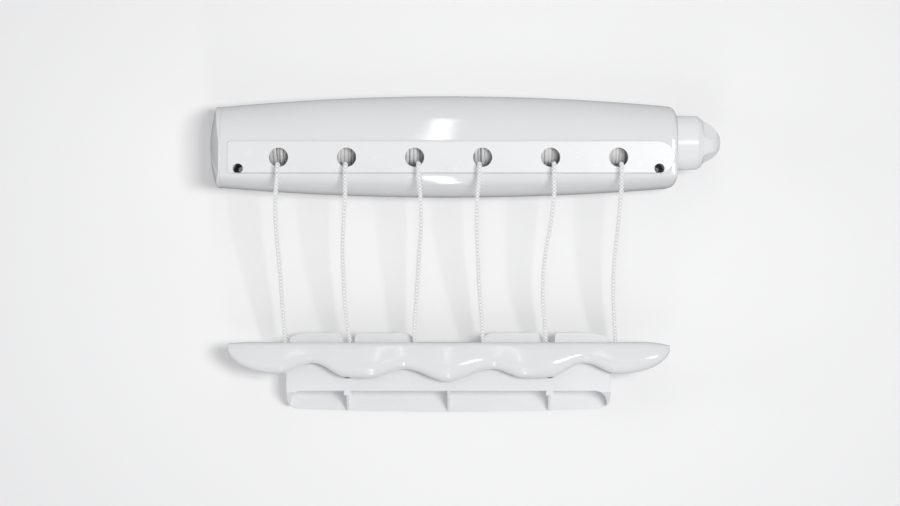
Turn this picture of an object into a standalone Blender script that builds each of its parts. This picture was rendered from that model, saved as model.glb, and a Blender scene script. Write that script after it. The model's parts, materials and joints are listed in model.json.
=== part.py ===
"""A wall-mounted retractable clothesline: six cords on one reel, a catch bar and a wall bracket.

Metres, +Z up. The wall is the plane y = 0 and the front faces -Y. The origin is the middle of the
reel housing's back, on the wall.
"""

import math

import bmesh
import bpy
from mathutils import Vector

GAP = 0.0003

# Reel housing: a half-oval barrel whose height tapers towards both ends
HOUSING_LEFT = -0.2130
HOUSING_RIGHT = 0.2132
TOP_HEIGHT = 0.0492
TOP_TAPER = 0.0102
BOTTOM_HEIGHT = 0.0458
BOTTOM_TAPER = 0.0090
CORNER_START = 0.2066
CORNER_RADIUS = 0.0068
DEPTH = 0.0760
OVAL_Y = -0.0300
WALL = 0.0025
FLAT_MARGIN = 0.0004
ROUNDING_START = 0.2085
FRONT_ROUNDING = 0.0016
CAP_EDGE = 0.0012
CAP_LEAN = 0.0042
CAP_DOME = 0.0058

# Face plate in the front of the housing
FACE_TOP = 0.0056
FACE_BOTTOM = -0.0242
FACE_RIGHT = 0.2106
FACE_LEFT = -0.2060
FACE_THICKNESS = 0.0033
FLANGE_HALF_LENGTH = 0.1800
HOLE_PITCH = 0.0633
HOLE_Z = -0.0095
HOLE_RADIUS = 0.00885
LANES = 6

# Wall screws: a wide access bore through the housing, then a hole for the shank
WALL_SCREW_X = 0.1962
WALL_SCREW_Z = -0.0200
ACCESS_RADIUS = 0.0047
SLEEVE_RADIUS = 0.0066
SCREW_SEAT = 0.0240
SHANK_HOLE_RADIUS = 0.0025

# Reel, turning about a line along X
AXIS_Y = -0.0380
AXIS_Z = 0.0051
SHAFT_RADIUS = 0.0040
SHAFT_LEFT = -0.2155
SHAFT_RIGHT = 0.2380
DRIVE_START = 0.2260
DRIVE_HALF_SIDE = 0.0030
BUSH_RADIUS = 0.0075
CORE_RADIUS = 0.02325
DRUM_WALL = 0.0025
HUB_RADIUS = 0.0105
FLANGE_RADIUS = 0.0319
FLANGE_THICKNESS = 0.0015
WINDING_RADIUS = 0.0304
WINDING_HALF_WIDTH = 0.0197

# Knob on the shaft's right end
KNOB_LEFT = 0.2162
KNOB_RADIUS = 0.0252
KNOB_CAP_RADIUS = 0.0070
KNOB_CAP_SEAT = 0.2505
KNOB_CAP_EDGE = 0.2543
KNOB_TIP = 0.2556
# The grip's outline outside its ring: (x, radius)
KNOB_SHOULDER = (
    (0.2336, 0.0252),
    (0.2362, 0.0231),
    (0.2395, 0.0206),
    (0.2436, 0.0184),
    (0.2475, 0.0159),
    (0.2511, 0.0123),
    (0.2536, 0.0086),
)
FACET_ANGLES = (-108, 12, 132)

# Cords
CORD = 0.0035
BEND = 0.0070
REAR_BEND = 0.0120
STUB = 0.0012
CORD_SPACING = 0.0090
LIP_XS = (-0.1590, -0.0959, -0.0280, 0.0287, 0.0980, 0.1608)

# Where each hanging cord passes, level by level, from the lip down to the bar: (z, y) of the level
CORD_LEVELS = (
    (-0.0450, -0.0850),
    (-0.0700, -0.0805),
    (-0.0950, -0.0735),
    (-0.1200, -0.0650),
    (-0.1450, -0.0560),
    (-0.1660, -0.0472),
    (-0.1795, -0.0424),
    (-0.1908, -0.0420),
)
CORD_XS = (
    (-0.1605, -0.1608, -0.1590, -0.1572, -0.1559, -0.1546, -0.1540, -0.1540),
    (-0.0960, -0.0976, -0.0989, -0.0981, -0.0972, -0.0952, -0.0931, -0.0930),
    (-0.0262, -0.0254, -0.0272, -0.0288, -0.0306, -0.0320, -0.0318, -0.0317),
    (0.0268, 0.0260, 0.0269, 0.0280, 0.0298, 0.0315, 0.0321, 0.0322),
    (0.0978, 0.0950, 0.0908, 0.0882, 0.0884, 0.0905, 0.0914, 0.0915),
    (0.1600, 0.1577, 0.1553, 0.1539, 0.1543, 0.1559, 0.1567, 0.1569),
)

# Catch bar: the lower edge swings between lobes and waists
BAR_HALF_LENGTH = 0.2078
BAR_TOP = -0.1825
BAR_FRONT = -0.0570
BAR_SHOULDER_Y = -0.0455
BAR_SPLIT_Y = -0.0397
BAR_BACK_Y = -0.0360
BAR_EDGE = (
    (0.0, -0.2194),
    (0.0415, -0.2076),
    (0.0720, -0.2159),
    (0.0785, -0.2161),
    (0.0950, -0.2154),
    (0.1274, -0.2020),
    (0.1595, -0.2121),
)
BAR_TIP_DROP = 0.0056
BAR_TIP_START = 0.1830
KNOT_RADIUS = 0.0037
BAR_SCREW_XS = (-0.112, 0.0, 0.112)
BAR_SCREW_Z = -0.1950

# Wall bracket
BRACKET_HALF_LENGTH = 0.1530
BRACKET_TOP = -0.1740
BRACKET_SHOULDER = -0.1900
PANEL_BOTTOM = -0.2286
BRACKET_BOTTOM = -0.2465
BOTTOM_BOW = 0.0030
BRACKET_DEPTH = 0.0330
BRACKET_WALL = 0.0030
BRACKET_SCREW_X = 0.0955
BRACKET_SCREW_Z = -0.2112
BRACKET_ACCESS_RADIUS = 0.0056
BELOW_BRACKET = -0.2600

# Upstanding tongues of the front panel: (left end, right end, left slope, right slope)
HUMPS = (
    (-0.1500, -0.1000, 0.0180, 0.0020),
    (-0.0885, -0.0335, 0.0040, 0.0070),
    (0.0335, 0.0885, 0.0070, 0.0040),
    (0.1000, 0.1500, 0.0020, 0.0180),
)


def clear_scene():
    for old in list(bpy.data.objects):
        bpy.data.objects.remove(old, do_unlink=True)


def material(name, colour, roughness, metallic=0.0):
    made = bpy.data.materials.new(name)
    made.use_nodes = True
    shader = made.node_tree.nodes["Principled BSDF"]
    shader.inputs["Base Color"].default_value = (*colour, 1.0)
    shader.inputs["Roughness"].default_value = roughness
    shader.inputs["Metallic"].default_value = metallic
    return made


def add_object(name, mesh_builder, finish):
    """An object from a bmesh, with its faces turned outwards and its round parts shaded smooth."""
    bmesh.ops.recalc_face_normals(mesh_builder, faces=mesh_builder.faces)
    mesh = bpy.data.meshes.new(name)
    mesh_builder.to_mesh(mesh)
    mesh_builder.free()
    mesh.shade_smooth()
    mesh.set_sharp_from_angle(angle=math.radians(35))
    made = bpy.data.objects.new(name, mesh)
    bpy.context.scene.collection.objects.link(made)
    if finish:
        made.data.materials.append(finish)
    return made


def loft(name, rings, finish=None):
    """A closed solid through rings of equally many points, capped at both ends."""
    shape = bmesh.new()
    loops = [[shape.verts.new(point) for point in ring] for ring in rings]
    for near, far in zip(loops, loops[1:]):
        for i in range(len(near)):
            shape.faces.new((near[i - 1], near[i], far[i], far[i - 1]))
    shape.faces.new(loops[0])
    shape.faces.new(loops[-1])
    if len(rings) > 2:
        bmesh.ops.triangulate(shape, faces=shape.faces)
    return add_object(name, shape, finish)


def prism_along_x(name, outline, low, high, finish=None):
    return loft(name, [[(x, y, z) for y, z in outline] for x in (low, high)], finish)


def prism_along_y(name, outline, low, high, finish=None):
    return loft(name, [[(x, y, z) for x, z in outline] for y in (low, high)], finish)


def box(name, low, high, finish=None):
    outline = [(low[1], low[2]), (high[1], low[2]), (high[1], high[2]), (low[1], high[2])]
    return prism_along_x(name, outline, low[0], high[0], finish)


def turned(name, profile, finish=None, segments=24, centre=(AXIS_Y, AXIS_Z)):
    """A profile of (x, radius) points turned about a line along X. A radius of 0 is a point on it."""
    shape = bmesh.new()
    rings = []
    for x, radius in profile:
        count = segments if radius > 0 else 1
        angles = [2 * math.pi * k / segments for k in range(count)]
        ring = [(x, centre[0] + radius * math.cos(a), centre[1] + radius * math.sin(a)) for a in angles]
        rings.append([shape.verts.new(point) for point in ring])
    for near, far in zip(rings, rings[1:] + rings[:1]):
        if len(near) == len(far) == 1:
            continue
        for k in range(segments):
            corners = [near[k % len(near)], near[(k + 1) % len(near)], far[(k + 1) % len(far)], far[k % len(far)]]
            shape.faces.new(list(dict.fromkeys(corners)))
    return add_object(name, shape, finish)


def rod_along_y(name, x, z, radius, low, high, finish=None, segments=20):
    angles = [2 * math.pi * k / segments for k in range(segments)]
    outline = [(x + radius * math.cos(a), z + radius * math.sin(a)) for a in angles]
    return prism_along_y(name, outline, low, high, finish)


def arc(centre, radius, start, end, steps):
    """Points on an arc, its angles in degrees."""
    angles = [math.radians(start + (end - start) * k / steps) for k in range(steps + 1)]
    return [(centre[0] + radius * math.cos(a), centre[1] + radius * math.sin(a)) for a in angles]


def combine(target, tool, operation):
    """Cuts or joins a tool into a target with a Boolean, and hides the tool."""
    tool.hide_render = True
    tool.display_type = "WIRE"
    step = target.modifiers.new(tool.name, "BOOLEAN")
    step.object = tool
    step.operation = operation
    step.solver = "EXACT"


def cut(target, tool):
    combine(target, tool, "DIFFERENCE")


def join(target, tool):
    combine(target, tool, "UNION")


def smooth_route(points, spacing):
    """Evenly spaced points on a Catmull-Rom curve through the given ones."""
    knots = [Vector(point) for point in points]
    knots = [2 * knots[0] - knots[1]] + knots + [2 * knots[-1] - knots[-2]]
    fine = []
    for a, b, c, d in zip(knots, knots[1:], knots[2:], knots[3:]):
        for k in range(16):
            t = k / 16
            fine.append(
                0.5 * (2 * b + (c - a) * t + (2 * a - 5 * b + 4 * c - d) * t**2 + (3 * b - a - 3 * c + d) * t**3)
            )
    fine.append(knots[-2])
    lengths = [(q - p).length for p, q in zip(fine, fine[1:])]
    count = max(2, round(sum(lengths) / spacing))
    step = sum(lengths) / count
    even = [fine[0]]
    walked = 0.0
    for p, q, length in zip(fine, fine[1:], lengths):
        while len(even) < count and walked + length >= len(even) * step:
            even.append(p.lerp(q, (len(even) * step - walked) / length))
        walked += length
    even.append(fine[-1])
    return even


def tube(name, points, diameter, finish, resolution=2):
    curve = bpy.data.curves.new(name, "CURVE")
    curve.dimensions = "3D"
    curve.bevel_depth = diameter / 2
    curve.bevel_resolution = resolution
    curve.use_fill_caps = True
    spline = curve.splines.new("POLY")
    spline.points.add(len(points) - 1)
    for slot, point in zip(spline.points, points):
        slot.co = (*point, 1.0)
    curve.materials.append(finish)
    made = bpy.data.objects.new(name, curve)
    bpy.context.scene.collection.objects.link(made)
    return made


def hole_x(lane):
    return HOLE_PITCH * (lane - (LANES - 1) / 2)


def corner_fall(x):
    """How far the housing's edge draws in at x, at the rounded corner of the right end."""
    past = min(CORNER_RADIUS, max(0.0, x - CORNER_START))
    return CORNER_RADIUS - math.sqrt(CORNER_RADIUS**2 - past**2)


def top_height(x):
    return TOP_HEIGHT - TOP_TAPER * (x / HOUSING_RIGHT) ** 2 - corner_fall(x)


def bottom_height(x):
    return BOTTOM_HEIGHT - BOTTOM_TAPER * (x / HOUSING_RIGHT) ** 2 - corner_fall(x)


def front_rounding(x):
    """How far the housing's front falls back at x, where it rolls over the right end."""
    share = max(0.0, (x - ROUNDING_START) / (HOUSING_RIGHT - ROUNDING_START))
    return FRONT_ROUNDING * (1 - math.sqrt(max(0.0, 1 - share**2)))


def housing_section(x, inset, back_y, front_inset=None):
    """Half-oval outline with a flat front, as (y, z) points from the lower back edge to the upper one."""
    front_inset = inset if front_inset is None else front_inset
    reach = DEPTH - front_inset + OVAL_Y - front_rounding(x)
    low_height = bottom_height(x) - inset
    height = top_height(x) - inset
    low_flat = FACE_BOTTOM - FLAT_MARGIN
    high_flat = FACE_TOP + FLAT_MARGIN
    steps = 9
    turns = [math.pi / 2 * k / steps for k in range(steps + 1)]
    lower = [(OVAL_Y - reach * math.sin(t), low_flat - (low_height + low_flat) * math.cos(t)) for t in turns]
    upper = [(OVAL_Y - reach * math.sin(t), high_flat + (height - high_flat) * math.cos(t)) for t in reversed(turns)]
    closing = [(back_y, height), (back_y, -low_height)] if back_y > OVAL_Y else []
    return lower + upper + closing


def stations(low, high):
    """Places along the housing, closer together at its rounded right corner."""
    xs = [low + (CORNER_START - low) * k / 10 for k in range(11)]
    xs += [CORNER_START + CORNER_RADIUS * f for f in (0.45, 0.75, 0.9)]
    return [x for x in xs if x < high] + [high]


def housing_loft(name, low, high, inset, back_y, finish=None):
    rings = [[(x, y, z) for y, z in housing_section(x, inset, back_y)] for x in stations(low, high)]
    return loft(name, rings, finish)


def face_outline(spare):
    """The face plate's outline, as (x, z) points: a full-round right end and a square left end."""
    middle = (FACE_TOP + FACE_BOTTOM) / 2
    half = (FACE_TOP - FACE_BOTTOM) / 2 + spare
    corner = 0.0030
    outline = arc((FACE_RIGHT + spare - half, middle), half, -90, 90, 14)
    outline += arc((FACE_LEFT - spare + corner, middle + half - corner), corner, 90, 180, 3)
    outline += arc((FACE_LEFT - spare + corner, middle - half + corner), corner, 180, 270, 3)
    return outline


def front_cover(finish):
    cover = housing_loft("front_cover", HOUSING_LEFT, HOUSING_RIGHT, 0.0, OVAL_Y, finish)
    cut(cover, housing_loft("front_cover_hollow", HOUSING_LEFT - 0.005, HOUSING_RIGHT + 0.0001, WALL, 0.01))
    cut(cover, prism_along_y("front_cover_opening", face_outline(GAP), -DEPTH - 0.01, -DEPTH + 0.01))
    for name, x, z, depth in cover_screw_places():
        join(cover, rod_along_y("boss_" + name, x, z, 0.0035, OVAL_Y - 0.003, -depth))
        cut(cover, rod_along_y("pilot_" + name, x, z, 0.0018, OVAL_Y + 0.003, -0.0455))
    return cover


def cover_screw_places():
    """(name, x, z, depth of the front boss) of the four screws that hold the two shells together."""
    places = []
    for side, x in (("left", -0.060), ("right", 0.060)):
        places.append(("upper_" + side, x, 0.0400, 0.0505))
        places.append(("lower_" + side, x, -0.0362, 0.0570))
    return places


def back_ring(x, inset, back_y, front_y):
    """A rectangle of the back shell at x, from its lower back corner round to its upper one."""
    low, high = inset - bottom_height(x), top_height(x) - inset
    return [(x, back_y, low), (x, front_y, low), (x, front_y, high), (x, back_y, high)]


def back_shell(finish):
    rings = [back_ring(x, 0.0, 0.0, OVAL_Y + GAP) for x in stations(HOUSING_LEFT, HOUSING_RIGHT)]
    hollow = stations(HOUSING_LEFT - 0.005, HOUSING_RIGHT + 0.0001)
    hollow = [back_ring(x, WALL, -WALL, OVAL_Y - 0.005) for x in hollow]
    shell = loft("back_shell", rings, finish)
    cut(shell, loft("back_shell_hollow", hollow))
    for side, x in (("left", -WALL_SCREW_X), ("right", WALL_SCREW_X)):
        sleeve_end = -DEPTH + FACE_THICKNESS + GAP
        join(shell, rod_along_y("sleeve_" + side, x, WALL_SCREW_Z, SLEEVE_RADIUS, sleeve_end, -0.0005))
        cut(shell, rod_along_y("access_" + side, x, WALL_SCREW_Z, ACCESS_RADIUS, -DEPTH, -SCREW_SEAT))
        cut(shell, rod_along_y("shank_hole_" + side, x, WALL_SCREW_Z, SHANK_HOLE_RADIUS, -DEPTH, 0.005))
    for name, x, z, _ in cover_screw_places():
        join(shell, rod_along_y("standoff_" + name, x, z, 0.0045, OVAL_Y - 0.0025, -0.0005))
        cut(shell, rod_along_y("head_seat_" + name, x, z, 0.0033, -0.0035, 0.005))
        cut(shell, rod_along_y("clearance_" + name, x, z, 0.0018, -0.060, 0.005))
    return shell


def face_plate(finish):
    plate = prism_along_y("face_plate", face_outline(0.0), -DEPTH, -DEPTH + FACE_THICKNESS, finish)
    flange_front = -DEPTH + WALL + 2 * GAP
    low = (-FLANGE_HALF_LENGTH, flange_front, FACE_BOTTOM - 0.0015)
    high = (FLANGE_HALF_LENGTH, flange_front + 0.0015, FACE_TOP + 0.0015)
    join(plate, box("face_plate_flange", low, high))
    for lane in range(LANES):
        name = "cord_hole_%d" % (lane + 1)
        bore = (HOLE_RADIUS, -DEPTH - 0.01, -DEPTH + 0.01)
        cut(plate, rod_along_y(name, hole_x(lane), HOLE_Z, *bore, segments=28))
        relief = (HOLE_RADIUS + 0.0015, -DEPTH + FACE_THICKNESS - 0.0005, -DEPTH + 0.011)
        cut(plate, rod_along_y(name + "_relief", hole_x(lane), HOLE_Z, *relief, segments=28))
    for side, x in (("left", -WALL_SCREW_X), ("right", WALL_SCREW_X)):
        name = "screw_access_" + side
        cut(plate, rod_along_y(name, x, WALL_SCREW_Z, ACCESS_RADIUS, -DEPTH - 0.01, -DEPTH + 0.01))
    return plate


def cap_rim_lean(y):
    """How far the cap's rim leans out at y: nothing at the front, the most behind the oval's widest line."""
    share = min(1.0, max(0.0, (OVAL_Y - y) / (DEPTH + OVAL_Y)))
    return CAP_LEAN * math.sqrt(1 - share**2)


def cap_ring(offset, share, lean):
    """One ring of the left cap: its outline scaled by share, with lean from 0 at the joint to 1 at the rim."""
    ring = []
    for y, z in housing_section(HOUSING_LEFT, 0.0, 0.0):
        out = CAP_LEAN - (CAP_LEAN - cap_rim_lean(y)) * share
        ring.append((HOUSING_LEFT - GAP - offset - out * lean, AXIS_Y + (y - AXIS_Y) * share, z * share))
    return ring


def left_end_cap(finish):
    """A domed shell that closes the left end, with a boss that holds the shaft's bush."""
    rings = [cap_ring(0.0, 1.0, 0.0), cap_ring(CAP_EDGE, 1.0, 1.0)]
    rings += [cap_ring(CAP_EDGE + CAP_DOME * (1 - s**2), s, 1.0) for s in (0.985, 0.93, 0.8, 0.6, 0.4, 0.15)]
    cap = loft("left_end_cap", rings, finish)
    places = ((-0.005, 0.92, 0.0), (0.0004, 0.92, 0.0), (0.0030, 0.60, 0.6), (0.0042, 0.2, 0.6))
    cut(cap, loft("left_end_cap_hollow", [cap_ring(*place) for place in places]))
    join(cap, turned("left_boss", [(-0.2205, 0), (-0.2205, 0.0110), (-0.2065, 0.0110), (-0.2065, 0)]))
    pocket = [(-0.2163, 0), (-0.2163, BUSH_RADIUS + GAP), (-0.200, BUSH_RADIUS + GAP), (-0.200, 0)]
    cut(cap, turned("left_bush_pocket", pocket))
    return cap


def right_end_cap(finish):
    """A flat plug inside the housing's right end, with a boss that holds the shaft's bush."""
    inset = WALL + GAP
    back_y = -inset
    xs = [0.2098, CORNER_START + CORNER_RADIUS * 0.75, CORNER_START + CORNER_RADIUS * 0.9, 0.2129]
    rings = [[(x, y, z) for y, z in housing_section(x, inset, back_y, 0.0052)] for x in xs]
    cap = loft("right_end_cap", rings, finish)
    join(cap, turned("right_boss", [(0.2036, 0), (0.2036, 0.0110), (0.2105, 0.0110), (0.2105, 0)]))
    bore = [(0.190, 0), (0.190, BUSH_RADIUS + GAP), (0.230, BUSH_RADIUS + GAP), (0.230, 0)]
    cut(cap, turned("right_bush_bore", bore))
    return cap


def bush(name, low, high, finish):
    inner = SHAFT_RADIUS + GAP
    return turned(name, [(low, inner), (low, BUSH_RADIUS), (high, BUSH_RADIUS), (high, inner)], finish)


def reel_drum(finish):
    """The moulded drum: a hollow core, open at its right end, with a flange on each side of every winding."""
    end = 0.2020
    journal = 0.0090
    neck = hole_x(LANES - 1) + WINDING_HALF_WIDTH + GAP + FLANGE_THICKNESS
    bore = SHAFT_RADIUS + GAP
    profile = [(-end, bore), (-end, journal), (-neck, journal)]
    for lane in range(LANES):
        for side in (-1, 1):
            inner = hole_x(lane) + side * (WINDING_HALF_WIDTH + GAP)
            outer = inner + side * FLANGE_THICKNESS
            first, second = (outer, inner) if side < 0 else (inner, outer)
            profile += [(first, CORE_RADIUS), (first, FLANGE_RADIUS)]
            profile += [(second, FLANGE_RADIUS), (second, CORE_RADIUS)]
    profile.pop(3)
    profile.pop()
    profile += [(neck, journal), (end, journal), (end, bore)]
    drum = turned("reel_drum", profile, finish, segments=18)
    inside = CORE_RADIUS - DRUM_WALL
    closed, opened = 0.0028 - neck, neck + 0.005
    hollow = [(closed, HUB_RADIUS), (closed, inside), (opened, inside), (opened, HUB_RADIUS)]
    cut(drum, turned("drum_hollow", hollow, segments=18))
    return drum


def cord_winding(lane, finish):
    """The cord wound on the drum in one lane, as its outer shape."""
    x = hole_x(lane)
    inner = CORE_RADIUS + 2 * GAP
    crown = 0.0012
    low, high = x - WINDING_HALF_WIDTH, x + WINDING_HALF_WIDTH
    profile = [
        (low, inner),
        (low, WINDING_RADIUS - crown),
        (low + crown, WINDING_RADIUS),
        (high - crown, WINDING_RADIUS),
        (high, WINDING_RADIUS - crown),
        (high, inner),
    ]
    return turned("cord_winding_%d" % (lane + 1), profile, finish, segments=20)


def reel_shaft(finish):
    drive = DRIVE_HALF_SIDE
    round_end = DRIVE_START + 0.001
    profile = [(SHAFT_LEFT, 0), (SHAFT_LEFT, SHAFT_RADIUS), (round_end, SHAFT_RADIUS), (round_end, 0)]
    shaft = turned("reel_shaft", profile, finish)
    low = (DRIVE_START, AXIS_Y - drive, AXIS_Z - drive)
    high = (SHAFT_RIGHT, AXIS_Y + drive, AXIS_Z + drive)
    join(shaft, box("shaft_drive", low, high))
    tapped = 0.0016
    cut(shaft, turned("shaft_tapping", [(0.2280, 0), (0.2280, tapped), (0.245, tapped), (0.245, 0)], segments=12))
    return shaft


def brake_pad(finish):
    low, high = 0.2132, 0.2165
    return turned("brake_pad", [(low, 0.0115), (low, 0.0175), (high, 0.0175), (high, 0.0115)], finish)


def knob_facet(name, angle):
    """The tool for one finger flat: a tilted plane with a rounded shoulder, square to the direction at angle."""
    outline = [(0.2375, 0.0218), (0.2382, 0.0190), (0.2398, 0.0162), (0.2422, 0.0149), (0.2471, 0.0129)]
    outline += [(0.2522, 0.0104), (0.2590, 0.0071), (0.2590, 0.0300), (0.2375, 0.0300)]
    turn = math.radians(angle)
    rings = []
    for side in (-0.020, 0.020):
        ring = []
        for x, out in outline:
            y = AXIS_Y + out * math.cos(turn) - side * math.sin(turn)
            ring.append((x, y, AXIS_Z + out * math.sin(turn) + side * math.cos(turn)))
        rings.append(ring)
    return loft(name, rings)


def ball(name, centre, radius, finish=None, rings=10, segments=16):
    shape = bmesh.new()
    bmesh.ops.create_uvsphere(shape, u_segments=segments, v_segments=rings, radius=radius)
    bmesh.ops.translate(shape, verts=shape.verts, vec=centre)
    return add_object(name, shape, finish)


def winding_knob(finish):
    """The knob: a hub ring that meets the brake pad, a web with a square hole, and a domed grip."""
    web_inner, web_outer = 0.2290, 0.2330
    bore = KNOB_CAP_RADIUS + 0.0002
    profile = [(KNOB_LEFT, 0.0222), (KNOB_LEFT, KNOB_RADIUS - 0.0006), (KNOB_LEFT + 0.0006, KNOB_RADIUS)]
    profile += list(KNOB_SHOULDER) + [(KNOB_CAP_EDGE, bore), (web_outer, bore)]
    profile += [(web_outer, 0.0028), (web_inner, 0.0028)]
    profile += [(web_inner, 0.0120), (0.2168, 0.0120), (0.2168, 0.0170), (0.2270, 0.0170), (0.2270, 0.0222)]
    knob = turned("winding_knob", profile, finish, segments=40)
    side = DRIVE_HALF_SIDE + GAP
    low = (0.2200, AXIS_Y - side, AXIS_Z - side)
    high = (0.2400, AXIS_Y + side, AXIS_Z + side)
    cut(knob, box("knob_drive_hole", low, high))
    for k, angle in enumerate(FACET_ANGLES):
        cut(knob, knob_facet("knob_facet_%d" % k, angle))
    return knob


def knob_cap(finish):
    """The round cap that closes the knob's tip and hides its screw."""
    profile = [(KNOB_CAP_SEAT, 0), (KNOB_CAP_SEAT, KNOB_CAP_RADIUS), (KNOB_CAP_EDGE, KNOB_CAP_RADIUS)]
    profile += [(KNOB_TIP - 0.0004, KNOB_CAP_RADIUS * 0.55), (KNOB_TIP, 0)]
    return turned("knob_cap", profile, finish)


def knob_screw(finish):
    """A shoulder screw in the shaft's end. The spring bears on its head."""
    profile = [(0.2283, 0), (0.2283, 0.0013), (SHAFT_RIGHT + GAP, 0.0013), (SHAFT_RIGHT + GAP, 0.0025)]
    profile += [(0.2440, 0.0025), (0.2440, 0.0062), (0.2456, 0.0062), (0.2462, 0.0050), (0.2462, 0)]
    return turned("knob_screw", profile, finish, segments=16)


def knob_spring(finish):
    """A compression spring between the knob's web and the screw's head, its ends lying flat."""
    start, end = 0.2339, 0.2434
    radius, wire, turns, per_turn = 0.0052, 0.0008, 4.5, 12
    count = int(turns * per_turn)
    points = []
    for k in range(count + 1):
        share = k / count
        along = min(1.0, max(0.0, (share - 0.12) / 0.76))
        angle = 2 * math.pi * turns * share
        x = start + (end - start) * (0.09 * share + 0.91 * along)
        points.append((x, AXIS_Y + radius * math.cos(angle), AXIS_Z + radius * math.sin(angle)))
    return tube("knob_spring", points, wire, finish, resolution=1)


def cover_screw(name, x, z, finish):
    screw = rod_along_y("cover_screw_" + name, x, z, 0.0030, -0.0030, -0.0008, finish, segments=12)
    join(screw, rod_along_y("cover_screw_shank_" + name, x, z, 0.0015, -0.0450, -0.0020, segments=12))
    return screw


def lip_z(lane):
    """Height of a cord's centre where it rests on the lower lip of its hole."""
    free = HOLE_RADIUS - CORD / 2 - 0.00035
    across = LIP_XS[lane] - hole_x(lane)
    return HOLE_Z - math.sqrt(free**2 - across**2)


def lead_route(lane):
    """(y, z) points of a lead: off the winding's underside, up to its hole, level over the lip, then down."""
    z = lip_z(lane)
    reach = WINDING_RADIUS + CORD / 2 + GAP
    centre = Vector((-DEPTH + FACE_THICKNESS + 0.0004, z - REAR_BEND))
    away = Vector((AXIS_Y, AXIS_Z)) - centre
    rise = math.atan2(away.x, away.y) - math.acos((reach + REAR_BEND) / away.length)
    leave = (AXIS_Y - reach * math.sin(rise), AXIS_Z - reach * math.cos(rise))
    rear = [(y, z) for y, z in arc(tuple(centre), REAR_BEND, 90 - math.degrees(rise), 90, 3)]
    middle = ((leave[0] + rear[0][0]) / 2, (leave[1] + rear[0][1]) / 2)
    return [leave, middle] + rear + arc((-DEPTH - 0.003, z - BEND), BEND, 90, 180, 6)


def cord_lead(lane, finish):
    """The cord from its winding forward through the hole and over the lip."""
    points = [Vector((LIP_XS[lane], y, z)) for y, z in lead_route(lane)]
    points.append(points[-1] - Vector((0, 0, STUB)))
    return tube("cord_lead_%d" % (lane + 1), points, CORD, finish)


def cord(lane, finish):
    """The free stretch of a cord, hanging from its lip to the bar."""
    x, y, z = LIP_XS[lane], -DEPTH - 0.003 - BEND, lip_z(lane) - BEND - STUB - GAP
    route = [(x, y, z - STUB)] + [(x, y, z) for x, (z, y) in zip(CORD_XS[lane], CORD_LEVELS)]
    points = [Vector((x, y, z))] + smooth_route(route, CORD_SPACING)
    return tube("cord_%d" % (lane + 1), points, CORD, finish)


def bar_edge(x):
    """Height of the bar's lower edge: half waves between lobes and waists, then a round end."""
    x = abs(x)
    last_x, last_z = BAR_EDGE[-1]
    if x >= last_x:
        share = min(1.0, (x - last_x) / (BAR_HALF_LENGTH - last_x))
        end_z = BAR_TOP - BAR_TIP_DROP
        return end_z - (end_z - last_z) * math.sqrt(1 - share**2)
    for (x0, z0), (x1, z1) in zip(BAR_EDGE, BAR_EDGE[1:]):
        if x <= x1:
            return z0 + (z1 - z0) * (1 - math.cos(math.pi * (x - x0) / (x1 - x0))) / 2
    return last_z


def bar_stations(count=46):
    """Places along the bar, closer together towards its tips."""
    shares = [2 * k / count - 1 for k in range(count + 1)]
    return [(BAR_HALF_LENGTH - 0.0002) * math.sin(math.pi / 2 * share) for share in shares]


def bar_top(x):
    """Height of the bar's upper edge, which falls towards its tips, more at the right one."""
    past = max(0.0, (abs(x) - BAR_TIP_START) / (BAR_HALF_LENGTH - BAR_TIP_START))
    return BAR_TOP - (0.0032 if x > 0 else 0.0014) * past**2


def bar_swell(x):
    """How far the bar's front stands out at x, as a share: fuller at the lobes, thin at the tips."""
    past = max(0.0, (abs(x) - BAR_TIP_START) / (BAR_HALF_LENGTH - BAR_TIP_START))
    lobe = (BAR_EDGE[-2][1] - bar_edge(x)) / (BAR_EDGE[-2][1] - BAR_EDGE[0][1])
    fullness = 0.70 + 0.30 * min(1.0, max(0.0, lobe)) if abs(x) < BAR_EDGE[-1][0] else 0.874
    return fullness * (0.25 + 0.75 * math.sqrt(max(0.0, 1 - past**2.4)))


def bar_section(x):
    """(y, z) outline: a flat back, a front that swells to a ridge near the lower edge."""
    low = bar_edge(x)
    top = bar_top(x)
    height = top - low
    swell = (BAR_FRONT - BAR_SHOULDER_Y) * bar_swell(x)
    front = [(0.0, 0.12), (0.03, 0.42), (0.12, 0.66), (0.30, 0.84), (0.50, 0.95)]
    front += [(0.66, 1.0), (0.80, 0.90), (0.91, 0.66)]
    front += [(0.98, 0.32), (1.0, 0.0)]
    outline = [(BAR_SPLIT_Y, low), (BAR_SPLIT_Y, top)]
    outline += [(BAR_SHOULDER_Y + swell * out, top - height * down) for down, out in front]
    return outline


def bar_front(finish):
    rings = [[(x, y, z) for y, z in bar_section(x)] for x in bar_stations()]
    front = loft("bar_front", rings, finish)
    for lane in range(LANES):
        x = CORD_XS[lane][-1]
        back = BAR_SPLIT_Y + 0.001
        cut(front, box("cord_slot_%d" % lane, (x - 0.0026, -0.0446, -0.1950), (x + 0.0026, back, -0.1800)))
        cut(front, box("knot_pocket_%d" % lane, (x - 0.0048, -0.0485, -0.2000), (x + 0.0048, back, -0.1906)))
    for k, x in enumerate(BAR_SCREW_XS):
        bore = (0.0015, -0.0478, BAR_SPLIT_Y + 0.001)
        cut(front, rod_along_y("bar_pilot_%d" % k, x, BAR_SCREW_Z, *bore, segments=12))
    return front


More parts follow.
